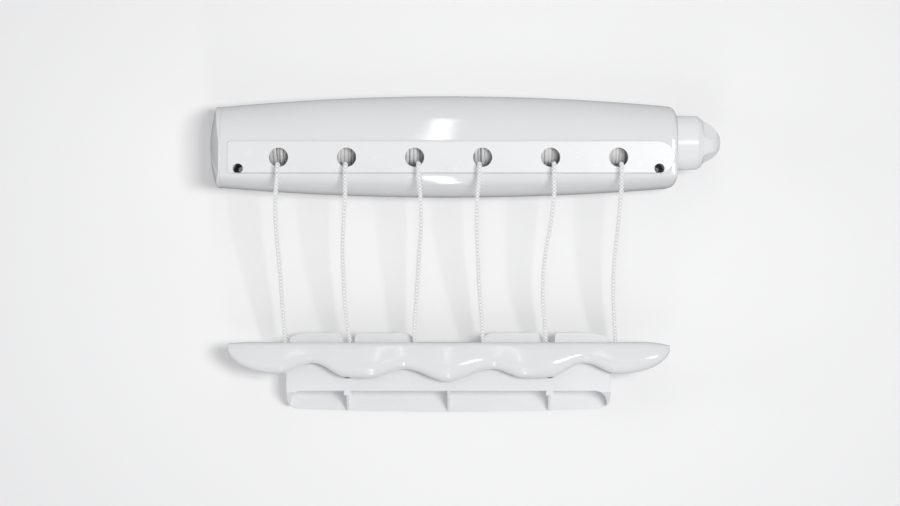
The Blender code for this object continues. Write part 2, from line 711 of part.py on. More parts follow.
def bar_back(finish):
    """The flat plate that closes the bar's back."""
    inset = 0.0012
    xs = [x for x in bar_stations() if abs(x) < BAR_HALF_LENGTH - 0.008]
    outline = [(x, bar_top(x) - inset) for x in xs] + [(x, bar_edge(x) + inset) for x in reversed(xs)]
    plate = prism_along_y("bar_back", outline, BAR_SPLIT_Y + GAP, BAR_BACK_Y, finish)
    for k, x in enumerate(BAR_SCREW_XS):
        cut(plate, rod_along_y("bar_head_seat_%d" % k, x, BAR_SCREW_Z, 0.0031, -0.0382, -0.030, segments=16))
        cut(plate, rod_along_y("bar_clearance_%d" % k, x, BAR_SCREW_Z, 0.0015, -0.045, -0.030, segments=12))
    return plate


def bar_screw(number, x, finish):
    name = "bar_screw_%d" % number
    screw = rod_along_y(name, x, BAR_SCREW_Z, 0.0028, -0.0379, -0.0363, finish, segments=12)
    join(screw, rod_along_y(name + "_shank", x, BAR_SCREW_Z, 0.0012, -0.0472, -0.0370, segments=12))
    return screw


def cord_knot(lane, finish):
    x = CORD_XS[lane][-1]
    centre = (x, -0.0438, -0.1908 - GAP - KNOT_RADIUS)
    return ball("cord_knot_%d" % (lane + 1), centre, KNOT_RADIUS, finish, rings=6, segments=10)


def bracket_hump(name, low, high, low_slope, high_slope):
    """One upstanding tongue of the front panel, with sloping ends."""
    fall = 0.0060
    outline = [(low, BRACKET_SHOULDER - 0.004), (high, BRACKET_SHOULDER - 0.004), (high, BRACKET_TOP - fall)]
    outline += [(high - high_slope * 0.45, BRACKET_TOP - fall * 0.3), (high - high_slope, BRACKET_TOP)]
    outline += [(low + low_slope, BRACKET_TOP), (low + low_slope * 0.45, BRACKET_TOP - fall * 0.3)]
    outline.append((low, BRACKET_TOP - fall))
    return prism_along_y(name, outline, -BRACKET_DEPTH, -BRACKET_DEPTH + BRACKET_WALL)


def wall_bracket(finish):
    half = BRACKET_HALF_LENGTH
    front = -BRACKET_DEPTH
    corner = 0.010
    outline = [(half, BRACKET_SHOULDER), (-half, BRACKET_SHOULDER)]
    outline += arc((-half + corner, BRACKET_BOTTOM + corner), corner, 180, 270, 6)
    for k in range(1, 8):
        x = (half - corner) * (k / 4 - 1)
        outline.append((x, BRACKET_BOTTOM - BOTTOM_BOW * (1 - (x / (half - corner)) ** 2)))
    outline += arc((half - corner, BRACKET_BOTTOM + corner), corner, 270, 360, 6)
    bracket = prism_along_y("wall_bracket", outline, front, 0.0, finish)
    inner = half - BRACKET_WALL
    low = (-inner, front + BRACKET_WALL, PANEL_BOTTOM + 0.0045)
    cut(bracket, box("bracket_channel", low, (inner, -BRACKET_WALL, -0.160)))
    wedge = [(front - 0.001, PANEL_BOTTOM - 0.0006), (-BRACKET_WALL, BRACKET_BOTTOM - BOTTOM_BOW - 0.0005)]
    wedge += [(-BRACKET_WALL, BELOW_BRACKET), (front - 0.001, BELOW_BRACKET)]
    cut(bracket, prism_along_x("bracket_wedge", wedge, -half - 0.01, half + 0.01))
    bracket_pockets(bracket, inner, front)
    join(bracket, box("bracket_rib", (-0.0015, front + 0.001, PANEL_BOTTOM + 0.002), (0.0015, -0.001, -0.195)))
    for k, hump in enumerate(HUMPS):
        join(bracket, bracket_hump("bracket_hump_%d" % k, *hump))
    for side, x in (("left", -BRACKET_SCREW_X), ("right", BRACKET_SCREW_X)):
        join(bracket, rod_along_y("bracket_sleeve_" + side, x, BRACKET_SCREW_Z, 0.0085, front + 0.001, -0.001))
        low = (x - 0.0037, front + 0.0002, -0.2334)
        join(bracket, box("bracket_nub_" + side, low, (x + 0.0037, -0.028, -0.2262)))
        bore = (BRACKET_ACCESS_RADIUS, -0.050, -0.005)
        cut(bracket, rod_along_y("bracket_access_" + side, x, BRACKET_SCREW_Z, *bore))
        cut(bracket, rod_along_y("bracket_shank_" + side, x, BRACKET_SCREW_Z, SHANK_HOLE_RADIUS, -0.050, 0.005))
    return bracket


def bracket_pockets(bracket, inner, front):
    """Four pockets under the panel, open in front and below, with triangular gussets between them."""
    gusset = 0.0015
    radius = 0.012
    edges = (-inner, -BRACKET_SCREW_X, 0.0, BRACKET_SCREW_X, inner)
    for k, (left, right) in enumerate(zip(edges, edges[1:])):
        low = left if k == 0 else left + gusset
        high = right if k == 3 else right - gusset
        outline = [(low, BELOW_BRACKET), (high, BELOW_BRACKET)]
        middle = PANEL_BOTTOM - radius
        outline += arc((high - radius, middle), radius, 0, 90, 6) if k == 3 else [(high, PANEL_BOTTOM)]
        outline += arc((low + radius, middle), radius, 90, 180, 6) if k == 0 else [(low, PANEL_BOTTOM)]
        cut(bracket, prism_along_y("bracket_pocket_%d" % k, outline, front - 0.01, -BRACKET_WALL))


def main():
    clear_scene()
    plastic = material("white_plastic", (0.83, 0.835, 0.845), 0.22)
    face = material("face_plastic", (0.86, 0.865, 0.87), 0.25)
    inner_plastic = material("reel_plastic", (0.70, 0.71, 0.72), 0.45)
    nylon = material("bush_nylon", (0.80, 0.79, 0.74), 0.5)
    cord_finish = material("cord_braid", (0.84, 0.84, 0.82), 0.85)
    steel = material("steel", (0.62, 0.62, 0.63), 0.3, 1.0)
    rubber = material("brake_rubber", (0.06, 0.06, 0.06), 0.8)

    back_shell(plastic)
    front_cover(plastic)
    face_plate(face)
    left_end_cap(plastic)
    right_end_cap(plastic)
    bush("left_bush", -0.2160, -0.2042, nylon)
    bush("right_bush", 0.2042, 0.2130, nylon)
    brake_pad(rubber)
    for name, x, z, _ in cover_screw_places():
        cover_screw(name, x, z, steel)
    wall_bracket(plastic)

    reel_drum(inner_plastic)
    reel_shaft(steel)
    knob_screw(steel)
    winding_knob(plastic)
    knob_cap(plastic)
    knob_spring(steel)

    bar_front(plastic)
    bar_back(plastic)
    for number, x in enumerate(BAR_SCREW_XS, 1):
        bar_screw(number, x, steel)

    for lane in range(LANES):
        cord_winding(lane, cord_finish)
        cord_lead(lane, cord_finish)
        cord(lane, cord_finish)
        cord_knot(lane, cord_finish)


main()
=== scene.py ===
"""A wall-mounted retractable clothesline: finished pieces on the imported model, a wall, lights, a camera.

Metres, +Z up. The wall is the plane y = 0 and the front faces -Y.
"""

import json
import math

import bmesh
import bpy
import numpy as np
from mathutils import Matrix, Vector

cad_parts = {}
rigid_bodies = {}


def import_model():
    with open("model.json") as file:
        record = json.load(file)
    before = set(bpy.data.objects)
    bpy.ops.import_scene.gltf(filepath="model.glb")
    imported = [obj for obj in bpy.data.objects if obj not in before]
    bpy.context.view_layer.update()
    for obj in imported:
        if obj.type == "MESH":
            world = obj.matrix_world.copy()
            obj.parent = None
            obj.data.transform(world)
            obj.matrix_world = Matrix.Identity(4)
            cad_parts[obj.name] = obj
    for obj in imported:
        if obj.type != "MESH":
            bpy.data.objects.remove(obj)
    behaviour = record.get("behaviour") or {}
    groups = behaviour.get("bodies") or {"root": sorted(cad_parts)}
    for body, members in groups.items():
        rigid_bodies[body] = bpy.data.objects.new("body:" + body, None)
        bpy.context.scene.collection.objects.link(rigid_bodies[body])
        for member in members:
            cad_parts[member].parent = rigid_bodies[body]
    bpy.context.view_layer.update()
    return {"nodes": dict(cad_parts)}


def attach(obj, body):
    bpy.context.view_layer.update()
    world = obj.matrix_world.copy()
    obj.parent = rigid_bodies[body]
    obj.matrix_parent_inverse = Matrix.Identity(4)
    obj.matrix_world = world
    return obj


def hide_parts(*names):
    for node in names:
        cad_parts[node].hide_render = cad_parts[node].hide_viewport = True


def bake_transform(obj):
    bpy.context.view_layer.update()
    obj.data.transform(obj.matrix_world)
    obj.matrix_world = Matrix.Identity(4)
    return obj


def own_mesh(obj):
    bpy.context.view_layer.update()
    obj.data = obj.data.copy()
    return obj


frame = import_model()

# Housing: its heights are measured from z = 0 at its middle, and taper towards its ends
HOUSING_LEFT = -0.2130
HOUSING_RIGHT = 0.2132
TOP_HEIGHT = 0.0492
TOP_TAPER = 0.0102
BOTTOM_HEIGHT = 0.0458
BOTTOM_TAPER = 0.0090
CORNER_START = 0.2066
CORNER_RADIUS = 0.0068
DEPTH = 0.0760
OVAL_Y = -0.0300  # the outline is at its full height here, and rounds off in front
WALL = 0.0025
FLAT_MARGIN = 0.0004  # flat front left above and below the face plate
ROUNDING_START = 0.2085
FRONT_ROUNDING = 0.0016
CAP_EDGE = 0.0012
CAP_LEAN = 0.0042
CAP_DOME = 0.0058
GAP = 0.0003  # between neighbouring pieces
SEAM = 0.00012  # the joint that shows round the face plate and at the left cap

# Face plate
FACE_TOP = 0.0056
FACE_BOTTOM = -0.0242
FACE_RIGHT = 0.2106
FACE_LEFT = -0.2060
FACE_THICKNESS = 0.0033
HOLE_PITCH = 0.0633
HOLE_Z = -0.0095
HOLE_RADIUS = 0.00885
FACE_CORNER = 0.0030
FACE_EDGE = 0.00022
LANES = 6
WALL_SCREW_X = 0.1962
WALL_SCREW_Z = -0.0200
ACCESS_RADIUS = 0.0047

# Reel and knob
AXIS_Y = -0.0380
AXIS_Z = 0.0051
WINDING_RADIUS = 0.0304
WINDING_HALF_WIDTH = 0.0197
KNOB_LEFT = 0.2162
KNOB_RADIUS = 0.0252
KNOB_CAP_RADIUS = 0.0070
KNOB_CAP_SEAT = 0.2505
KNOB_CAP_EDGE = 0.2543
KNOB_TIP = 0.2556
# The grip's outline outside its ring: (x, radius)
KNOB_SHOULDER = (
    (0.2336, 0.0252),
    (0.2362, 0.0231),
    (0.2395, 0.0206),
    (0.2436, 0.0184),
    (0.2475, 0.0159),
    (0.2511, 0.0123),
    (0.2536, 0.0086),
)
KNOB_RING_REACH = 0.0020  # how far the ring runs over the end cap
# The grip's inside, from its tip's bore through the screw's and spring's wells to the ring: (x, radius)
KNOB_WELLS = (
    (KNOB_CAP_SEAT, 0.0066),
    (0.2330, 0.0066),
    (0.2330, 0.0028),
    (0.2290, 0.0028),
    (0.2290, 0.0120),
    (0.2168, 0.0120),
    (0.2168, 0.0170),
    (0.2270, 0.0170),
    (0.2270, 0.0222),
)
KNOB_RING_BORE = 0.0222
# What a finger flat cuts away: (x, distance from the axis)
FACET_OUTLINE = (
    (0.2375, 0.0218),
    (0.2382, 0.0190),
    (0.2398, 0.0162),
    (0.2422, 0.0149),
    (0.2471, 0.0129),
    (0.2522, 0.0104),
    (0.2590, 0.0071),
    (0.2590, 0.0300),
    (0.2375, 0.0300),
)
FACET_HALF_WIDTH = 0.020
FACET_ANGLES = (-108, 12, 132)
SPRING_START = 0.2339
SPRING_END = 0.2434
SPRING_RADIUS = 0.0052
SPRING_WIRE = 0.0008
SPRING_TURNS = 4.5
SPRING_STEPS = 240

# Cords: a 3.5 mm braid. Each route goes through the same points as its solid's.
CORD = 0.0035
BEND = 0.0070  # over the lip of the hole
REAR_BEND = 0.0120  # behind the face plate
LIP_OVERHANG = 0.0030  # level run in front of the plate
LIP_SLACK = 0.00035
PLATE_CLEARANCE = 0.0004
STUB = 0.0012  # straight run at the end of a lead
BRAID_PERIOD = 0.0034
BRAID_STRANDS = 2
RING_SPACING = BRAID_PERIOD / 8
CORD_SIDES = 24
BRAID_RELIEF = 0.0011
MEAN_DIAMOND = 0.62  # the braid height at which the cord has its own diameter
# Where each cord crosses the lip of its hole
LIP_XS = (-0.1590, -0.0959, -0.0280, 0.0287, 0.0980, 0.1608)
# A free cord's route: the (z, y) levels that all six share, and each one's x at them
CORD_LEVELS = (
    (-0.0450, -0.0850),
    (-0.0700, -0.0805),
    (-0.0950, -0.0735),
    (-0.1200, -0.0650),
    (-0.1450, -0.0560),
    (-0.1660, -0.0472),
    (-0.1795, -0.0424),
    (-0.1908, -0.0420),
)
CORD_XS = (
    (-0.1605, -0.1608, -0.1590, -0.1572, -0.1559, -0.1546, -0.1540, -0.1540),
    (-0.0960, -0.0976, -0.0989, -0.0981, -0.0972, -0.0952, -0.0931, -0.0930),
    (-0.0262, -0.0254, -0.0272, -0.0288, -0.0306, -0.0320, -0.0318, -0.0317),
    (0.0268, 0.0260, 0.0269, 0.0280, 0.0298, 0.0315, 0.0321, 0.0322),
    (0.0978, 0.0950, 0.0908, 0.0882, 0.0884, 0.0905, 0.0914, 0.0915),
    (0.1600, 0.1577, 0.1553, 0.1539, 0.1543, 0.1559, 0.1567, 0.1569),
)

# Windings and knots
WINDING_SPARE = 0.0002
TURN_SPARE = 0.0001
NESTING = 0.86  # the two layers' distance, in cord diameters
INNER_STEPS = 40  # points to a turn
OUTER_STEPS = 96
CLIMB_TURNS = 0.15
LEAVE_TURNS = 0.14
KNOT_Y = -0.0438
KNOT_DROP = 0.0042
KNOT_SCALE = 0.00092
KNOT_CORD = 0.0024
KNOT_SPACING = 0.0004
KNOT_RELIEF = 0.0002

# Catch bar
BAR_HALF_LENGTH = 0.2078
BAR_TOP = -0.1825
BAR_FRONT = -0.0570
BAR_SPLIT_Y = -0.0397
BAR_BACK_Y = -0.0360
BAR_BASE_Y = -0.0440  # the shell stands straight up to here, and swells in front
# The right half of the wavy lower edge: (x, z)
BAR_EDGE = (
    (0.0, -0.2194),
    (0.0415, -0.2076),
    (0.0720, -0.2159),
    (0.0785, -0.2161),
    (0.0950, -0.2154),
    (0.1274, -0.2020),
    (0.1595, -0.2121),
)
BAR_TIP_DROP = 0.0056
BAR_TIP_START = 0.1830
BAR_RIGHT_FALL = 0.0032
BAR_LEFT_FALL = 0.0014
BAR_LEAST_SWELL = 0.25
BAR_TIP_POWER = 2.4
BAR_THIN = 0.70  # fullness between two lobes, with 1 at the deepest lobe
BAR_END_FULLNESS = 0.874
BAR_INSET = 0.0012  # of the lid, inside the shell's edge
BAR_SCREW_XS = (-0.112, 0.0, 0.112)
BAR_SCREW_Z = -0.1950
BAR_SCREW_HOLE = 0.0031
# The bar's front from its top edge, round the ridge, to its lower edge: (swell, height down), as shares
FRONT_SHAPE = (
    (0.0, 0.0),
    (0.25, 0.01),
    (0.50, 0.05),
    (0.68, 0.13),
    (0.82, 0.25),
    (0.93, 0.40),
    (0.99, 0.54),
    (1.0, 0.62),
    (0.97, 0.73),
    (0.88, 0.83),
    (0.72, 0.91),
    (0.48, 0.97),
    (0.22, 0.995),
    (0.0, 1.0),
)

# Wall bracket
BRACKET_HALF_LENGTH = 0.1530
BRACKET_TOP = -0.1740
BRACKET_SHOULDER = -0.1900
PANEL_BOTTOM = -0.2286
BRACKET_BOTTOM = -0.2465
BOTTOM_BOW = 0.0030
BRACKET_DEPTH = 0.0330
BRACKET_WALL = 0.0030
BRACKET_SCREW_X = 0.0955
BRACKET_SCREW_Z = -0.2112
BRACKET_ACCESS_RADIUS = 0.0056
BELOW_BRACKET = -0.2600
BRACKET_CORNER = 0.010
POCKET_CORNER = 0.012
GUSSET_HALF = 0.0011

# Upstanding tongues of the front panel: (left end, right end, left slope, right slope)
HUMPS = (
    (-0.1500, -0.1000, 0.0180, 0.0020),
    (-0.0885, -0.0335, 0.0040, 0.0070),
    (0.0335, 0.0885, 0.0070, 0.0040),
    (0.1000, 0.1500, 0.0020, 0.0180),
)
HUMP_FALL = 0.0060
SLEEVE_RADIUS = 0.0085
SHANK_HOLE_RADIUS = 0.0025

# Finishes: noise scales per metre, and heights of relief
MOTTLE_SCALE = 28.0
DUST_SCALE = 310.0
GLOSS_SCALE = 95.0
GRAIN_SCALE = 1700.0
SKIN_SCALE = 22.0
FUZZ_SCALE = 2600.0
GRAIN_HEIGHT = 0.0001
SKIN_HEIGHT = 0.002
YARN_HEIGHT = 0.0003
THREADS = 7  # fine threads in each yarn

# Studio
WALL_SIZE = 4.0
WALL_Y = 0.0004
FLOOR_SIZE = 8.0
FLOOR_Z = -3.8  # below the bar where its cords hang fully pulled out


# ---------------------------------------------------------------- materials


class Nodes:
    """Builds one material's node tree."""

    def __init__(self, name):
        self.material = bpy.data.materials.new(name)
        self.material.use_nodes = True
        self.tree = self.material.node_tree
        self.shader = self.tree.nodes["Principled BSDF"]

    def add(self, kind, settings=None, **inputs):
        """A node with its inputs given by name, or as i0, i1 and so on by number."""
        made = self.tree.nodes.new(kind)
        for key, value in (settings or {}).items():
            setattr(made, key, value)
        for key, value in inputs.items():
            socket = made.inputs[int(key[1:])] if key[0] == "i" and key[1:].isdigit() else made.inputs[key]
            self.put(socket, value)
        return made

    def put(self, socket, value):
        if isinstance(value, bpy.types.NodeSocket):
            self.tree.links.new(value, socket)
        else:
            socket.default_value = value

    def math(self, operation, a, b=0.0):
        return self.add("ShaderNodeMath", {"operation": operation}, i0=a, i1=b).outputs[0]

    def place(self):
        return self.add("ShaderNodeTexCoord").outputs["Object"]

    def noise(self, scale, detail=3.0, roughness=0.5, vector=None):
        made = self.add("ShaderNodeTexNoise", Scale=scale, Detail=detail, Roughness=roughness)
        self.put(made.inputs["Vector"], vector or self.place())
        return made.outputs["Fac"]

    def spread(self, value, low, high, low_in=0.3, high_in=0.7):
        """value stretched from low_in .. high_in to low .. high."""
        made = self.add("ShaderNodeMapRange", i0=value, i1=low_in, i2=high_in, i3=low, i4=high)
        return made.outputs[0]

    def blend_colours(self, share, first, second):
        made = self.add("ShaderNodeMix", {"data_type": "RGBA"}, i0=share)
        made.inputs[6].default_value = (*first, 1.0)
        made.inputs[7].default_value = (*second, 1.0)
        return made.outputs[2]

    def bump(self, height, strength, distance, normal=None):
        made = self.add("ShaderNodeBump", Strength=strength, Distance=distance, Height=height)
        if normal:
            self.put(made.inputs["Normal"], normal)
        return made.outputs["Normal"]

    def set(self, **inputs):
        """Fills the shader's inputs and gives the material."""
        for key, value in inputs.items():
            self.put(self.shader.inputs[key.replace("_", " ")], value)
        return self.material


def plastic(name, light, dark, roughness, grain=0.05, skin=0.012, dusty=0.25):
    """Moulded plastic: a faint mottle, a fine grain, a soft unevenness of the skin and of the gloss."""
    n = Nodes(name)
    mottle = n.spread(n.noise(MOTTLE_SCALE, 4.0, 0.55), 0.0, 1.0)
    dust = n.spread(n.noise(DUST_SCALE, 6.0, 0.7), 0.0, dusty, 0.55, 0.8)
    colour = n.blend_colours(n.math("ADD", n.math("MULTIPLY", mottle, 0.7), dust), light, dark)
    gloss = n.spread(n.noise(GLOSS_SCALE, 5.0, 0.6), roughness * 0.985, roughness * 1.02)
    grained = n.bump(n.noise(GRAIN_SCALE, 2.0, 0.5), grain, GRAIN_HEIGHT)
    uneven = n.bump(n.noise(SKIN_SCALE, 1.0, 0.4), skin, SKIN_HEIGHT, grained)
    return n.set(Base_Color=colour, Roughness=gloss, Normal=uneven, IOR=1.5)


def braid(name, light, dark):
    """Braided cord: raised diamonds of yarn with painted shade in the gaps between them, and fine threads
    along each.
    """
    n = Nodes(name)
    place = n.add("ShaderNodeUVMap", {"uv_map": "braid"}).outputs[0]
    parts = n.add("ShaderNodeSeparateXYZ", Vector=place)
    around = n.math("MULTIPLY", parts.outputs[0], float(BRAID_STRANDS))
    along = parts.outputs[1]
    first = n.math("SINE", n.math("MULTIPLY", n.math("ADD", around, along), math.pi))
    second = n.math("SINE", n.math("MULTIPLY", n.math("SUBTRACT", around, along), math.pi))
    diamonds = n.math("POWER", n.math("ABSOLUTE", n.math("MULTIPLY", first, second)), 0.5)
    threads = n.math("SINE", n.math("MULTIPLY", n.math("ADD", around, along), math.pi * THREADS))
    fuzz = n.noise(FUZZ_SCALE, 4.0, 0.65)
    height = n.math("ADD", diamonds, n.math("MULTIPLY", threads, 0.10))
    height = n.math("ADD", height, n.math("MULTIPLY", fuzz, 0.25))
    # The colour goes dark where the braid is low: painted shade in the gaps between the yarns, plus a
    # random fuzz.
    gap_shade_and_fuzz = n.math("ADD", n.math("MULTIPLY", diamonds, 1.1), n.math("MULTIPLY", fuzz, 0.35))
    colour = n.blend_colours(n.spread(gap_shade_and_fuzz, 0.0, 1.0, 0.1, 0.95), dark, light)
    n.set(Base_Color=colour, Roughness=0.72, Normal=n.bump(height, 0.55, YARN_HEIGHT), Sheen_Weight=0.25)
    return n.set(Sheen_Roughness=0.45, IOR=1.45)


def steel(name):
    """Drawn zinc-plated steel with fine lines round it."""
    n = Nodes(name)
    parts = n.add("ShaderNodeMapping", Vector=n.place(), Scale=(2600.0, 300.0, 300.0))
    lines = n.noise(1.0, 3.0, 0.6, parts.outputs[0])
    cloud = n.noise(180.0, 4.0, 0.6)
    colour = n.blend_colours(cloud, (0.66, 0.66, 0.68), (0.52, 0.52, 0.55))
    normal = n.bump(lines, 0.12, GRAIN_HEIGHT)
    return n.set(Base_Color=colour, Metallic=1.0, Roughness=n.spread(lines, 0.22, 0.40), Normal=normal)


def rubber(name):
    """Dull moulded rubber with a fine grain."""
    n = Nodes(name)
    colour = n.blend_colours(n.noise(400.0, 5.0, 0.6), (0.40, 0.40, 0.405), (0.32, 0.32, 0.32))
    normal = n.bump(n.noise(2400.0, 3.0, 0.6), 0.4, GRAIN_HEIGHT)
    return n.set(Base_Color=colour, Roughness=n.spread(n.noise(700.0), 0.65, 0.9), Normal=normal)


COVER_WHITE = plastic("cover_white", (0.80, 0.805, 0.815), (0.782, 0.787, 0.799), 0.03)
FACE_WHITE = plastic("face_white", (0.835, 0.84, 0.845), (0.829, 0.834, 0.839), 0.27, 0.05, 0.006, 0.05)
KNOB_WHITE = plastic("knob_white", (0.87, 0.875, 0.885), (0.85, 0.855, 0.865), 0.20)
BAR_WHITE = plastic("bar_white", (0.80, 0.805, 0.815), (0.77, 0.775, 0.785), 0.12)
BRACKET_WHITE = plastic("bracket_white", (0.835, 0.84, 0.85), (0.815, 0.82, 0.83), 0.22, 0.08)
REEL_WHITE = plastic("reel_white", (0.80, 0.81, 0.82), (0.74, 0.75, 0.76), 0.42, 0.15)
NYLON = plastic("bush_natural", (0.74, 0.725, 0.66), (0.68, 0.66, 0.59), 0.46, 0.12)
# The cord's dark colour is painted shade for the gaps of its braid.
BRAID = braid("cord_white", (0.97, 0.97, 0.97), (0.50, 0.50, 0.505))
# The wound cord is painted brighter than the free one, with almost no shade in its gaps: painted light
# inside the cord holes.
WOUND_BRAID_PAINTED_LIGHT = braid("cord_wound", (1.0, 1.0, 1.0), (0.95, 0.95, 0.95))
STEEL = steel("zinc_steel")
RUBBER = rubber("brake_rubber")


# ---------------------------------------------------------------- mesh tools


def settle(mesh, merge=0.0):
    """Merges points closer than merge, and turns every face outwards."""
    shape = bmesh.new()
    shape.from_mesh(mesh)
    if merge:
        bmesh.ops.remove_doubles(shape, verts=shape.verts, dist=merge)
    bmesh.ops.recalc_face_normals(shape, faces=shape.faces)
    shape.to_mesh(mesh)
    shape.free()


def placed(name, data):
    """A new object in the scene."""
    made = bpy.data.objects.new(name, data)
    bpy.context.scene.collection.objects.link(made)
    return made


def mesh_object(name, points, faces):
    mesh = bpy.data.meshes.new(name)
    mesh.from_pydata([tuple(p) for p in points], [], faces)
    settle(mesh)
    return placed(name, mesh)


def turn_angles(count):
    return [2 * math.pi * k / count for k in range(count)]


def quarter_angles(steps):
    return [math.pi / 2 * k / steps for k in range(steps + 1)]


def skin_over(rings, pairs):
    """Points, each ring's first point, and faces between the paired rings. A ring of one point is a tip."""
    points, starts = [], []
    for ring in rings:
        starts.append(len(points))
        points += ring
    faces = []
    for first, second in pairs:
        a, near = starts[first], rings[first]
        b, far = starts[second], rings[second]
        count = max(len(near), len(far))
        if count == 1:
            continue
        for i in range(count):
            j = (i + 1) % count
            corners = [a + i % len(near), a + j % len(near), b + j % len(far), b + i % len(far)]
            faces.append(list(dict.fromkeys(corners)))
    return points, starts, faces


def loft(name, rings):
    """A closed solid through the rings, its two ends flat."""
    points, starts, faces = skin_over(rings, [(k, k + 1) for k in range(len(rings) - 1)])
    for k in (0, -1):
        if len(rings[k]) > 1:
            faces.append(list(range(starts[k], starts[k] + len(rings[k]))))
    return mesh_object(name, points, faces)


def turned(name, profile, segments=96, centre=(AXIS_Y, AXIS_Z)):
    """A closed profile of (x, radius) turned about a line along X."""
    y, z = centre
    rings = []
    for x, radius in profile:
        angles = turn_angles(segments) if radius > 0 else [0.0]
        rings.append([(x, y + radius * math.cos(a), z + radius * math.sin(a)) for a in angles])
    points, _, faces = skin_over(rings, [(k, (k + 1) % len(rings)) for k in range(len(rings))])
    return mesh_object(name, points, faces)


def prism_along_x(name, outline, low, high):
    return loft(name, [[(x, y, z) for y, z in outline] for x in (low, high)])


def prism_along_y(name, outline, low, high):
    return loft(name, [[(x, y, z) for x, z in outline] for y in (low, high)])


def box(name, low, high):
    outline = [(low[1], low[2]), (high[1], low[2]), (high[1], high[2]), (low[1], high[2])]
    return prism_along_x(name, outline, low[0], high[0])


def circle(x, z, radius, segments=64):
    return [(x + radius * math.cos(a), z + radius * math.sin(a)) for a in turn_angles(segments)]


def rod_along_y(name, x, z, radius, low, high, segments=48):
    return prism_along_y(name, circle(x, z, radius, segments), low, high)


def arc(centre, radius, start, end, steps):
    """Points on an arc, its angles in degrees."""
    angles = [math.radians(start + (end - start) * k / steps) for k in range(steps + 1)]
    return [(centre[0] + radius * math.cos(a), centre[1] + radius * math.sin(a)) for a in angles]


def evaluated_mesh(made):
    bpy.context.view_layer.update()
    return bpy.data.meshes.new_from_object(made.evaluated_get(bpy.context.evaluated_depsgraph_get()))


def baked(made):
    """Applies an object's modifiers."""
    mesh = evaluated_mesh(made)
    made.modifiers.clear()
    made.data = mesh
    return made


def boolean(target, tool, operation):
    step = target.modifiers.new(tool.name, "BOOLEAN")
    step.object = tool
    step.operation = operation
    step.solver = "EXACT"
    baked(target)
    bpy.data.objects.remove(tool, do_unlink=True)


def cut(target, tool):
    boolean(target, tool, "DIFFERENCE")


def join(target, tool):
    boolean(target, tool, "UNION")


def ease_edges(made, width, segments, angle):
    """Rounds the edges sharper than angle, in degrees."""
    step = made.modifiers.new("edges", "BEVEL")
    step.width = width
    step.segments = segments
    step.limit_method = "ANGLE"
    step.angle_limit = math.radians(angle)
    step.use_clamp_overlap = True


def smooth(made, bevel=0.0, angle=35.0, segments=3):
    """Rounds the edges, then shades smoothly with the large faces kept true."""
    if bevel:
        ease_edges(made, bevel, segments, angle)
        baked(made)
    made.data.shade_smooth()
    made.data.set_sharp_from_angle(angle=math.radians(angle))
    made.modifiers.new("normals", "WEIGHTED_NORMAL").keep_sharp = True
    return baked(made)


def plate(name, outlines, front, thickness, edge):
    """A flat plate facing -Y from closed (x, z) outlines, holes among them, with its edges rounded."""
    curve = bpy.data.curves.new(name, "CURVE")
    curve.dimensions = "2D"
    curve.fill_mode = "BOTH"
    curve.extrude = thickness / 2 - edge
    curve.bevel_depth = edge
    curve.bevel_resolution = 2
    curve.offset = -edge
    for outline in outlines:
        spline = curve.splines.new("POLY")
        spline.points.add(len(outline) - 1)
        for slot, (x, z) in zip(spline.points, outline):
            slot.co = (x, z, 0.0, 1.0)
        spline.use_cyclic_u = True
    flat = placed(name, curve)
    mesh = evaluated_mesh(flat)
    bpy.data.objects.remove(flat, do_unlink=True)
    points = np.array([v.co for v in mesh.vertices])
    upright = np.stack([points[:, 0], front + thickness / 2 - points[:, 2], points[:, 1]], axis=1)
    mesh.vertices.foreach_set("co", upright.ravel())
    settle(mesh, merge=1e-6)
    return smooth(placed(name, mesh))


def smooth_route(points, spacing):
    """Evenly spaced points on a Catmull-Rom curve through the given ones."""
    knots = [Vector(point) for point in points]
    knots = [2 * knots[0] - knots[1]] + knots + [2 * knots[-1] - knots[-2]]
    fine = []
    for a, b, c, d in zip(knots, knots[1:], knots[2:], knots[3:]):
        for k in range(16):
            t = k / 16
            square = (2 * a - 5 * b + 4 * c - d) * t**2
            cube = (3 * b - a - 3 * c + d) * t**3
            fine.append(0.5 * (2 * b + (c - a) * t + square + cube))
    fine.append(knots[-2])
    return evenly(np.array(fine), spacing)


def evenly(points, spacing):
    """The same path in equal steps of about spacing."""
    walked = walked_along(points)
    count = max(2, round(walked[-1] / spacing))
    at = np.linspace(0.0, walked[-1], count + 1)
    return np.stack([np.interp(at, walked, points[:, k]) for k in range(3)], axis=1)


def walked_along(path):
    """How far along the path each of its points is."""
    steps = np.linalg.norm(np.diff(path, axis=0), axis=1)
    return np.concatenate([[0.0], np.cumsum(steps)])


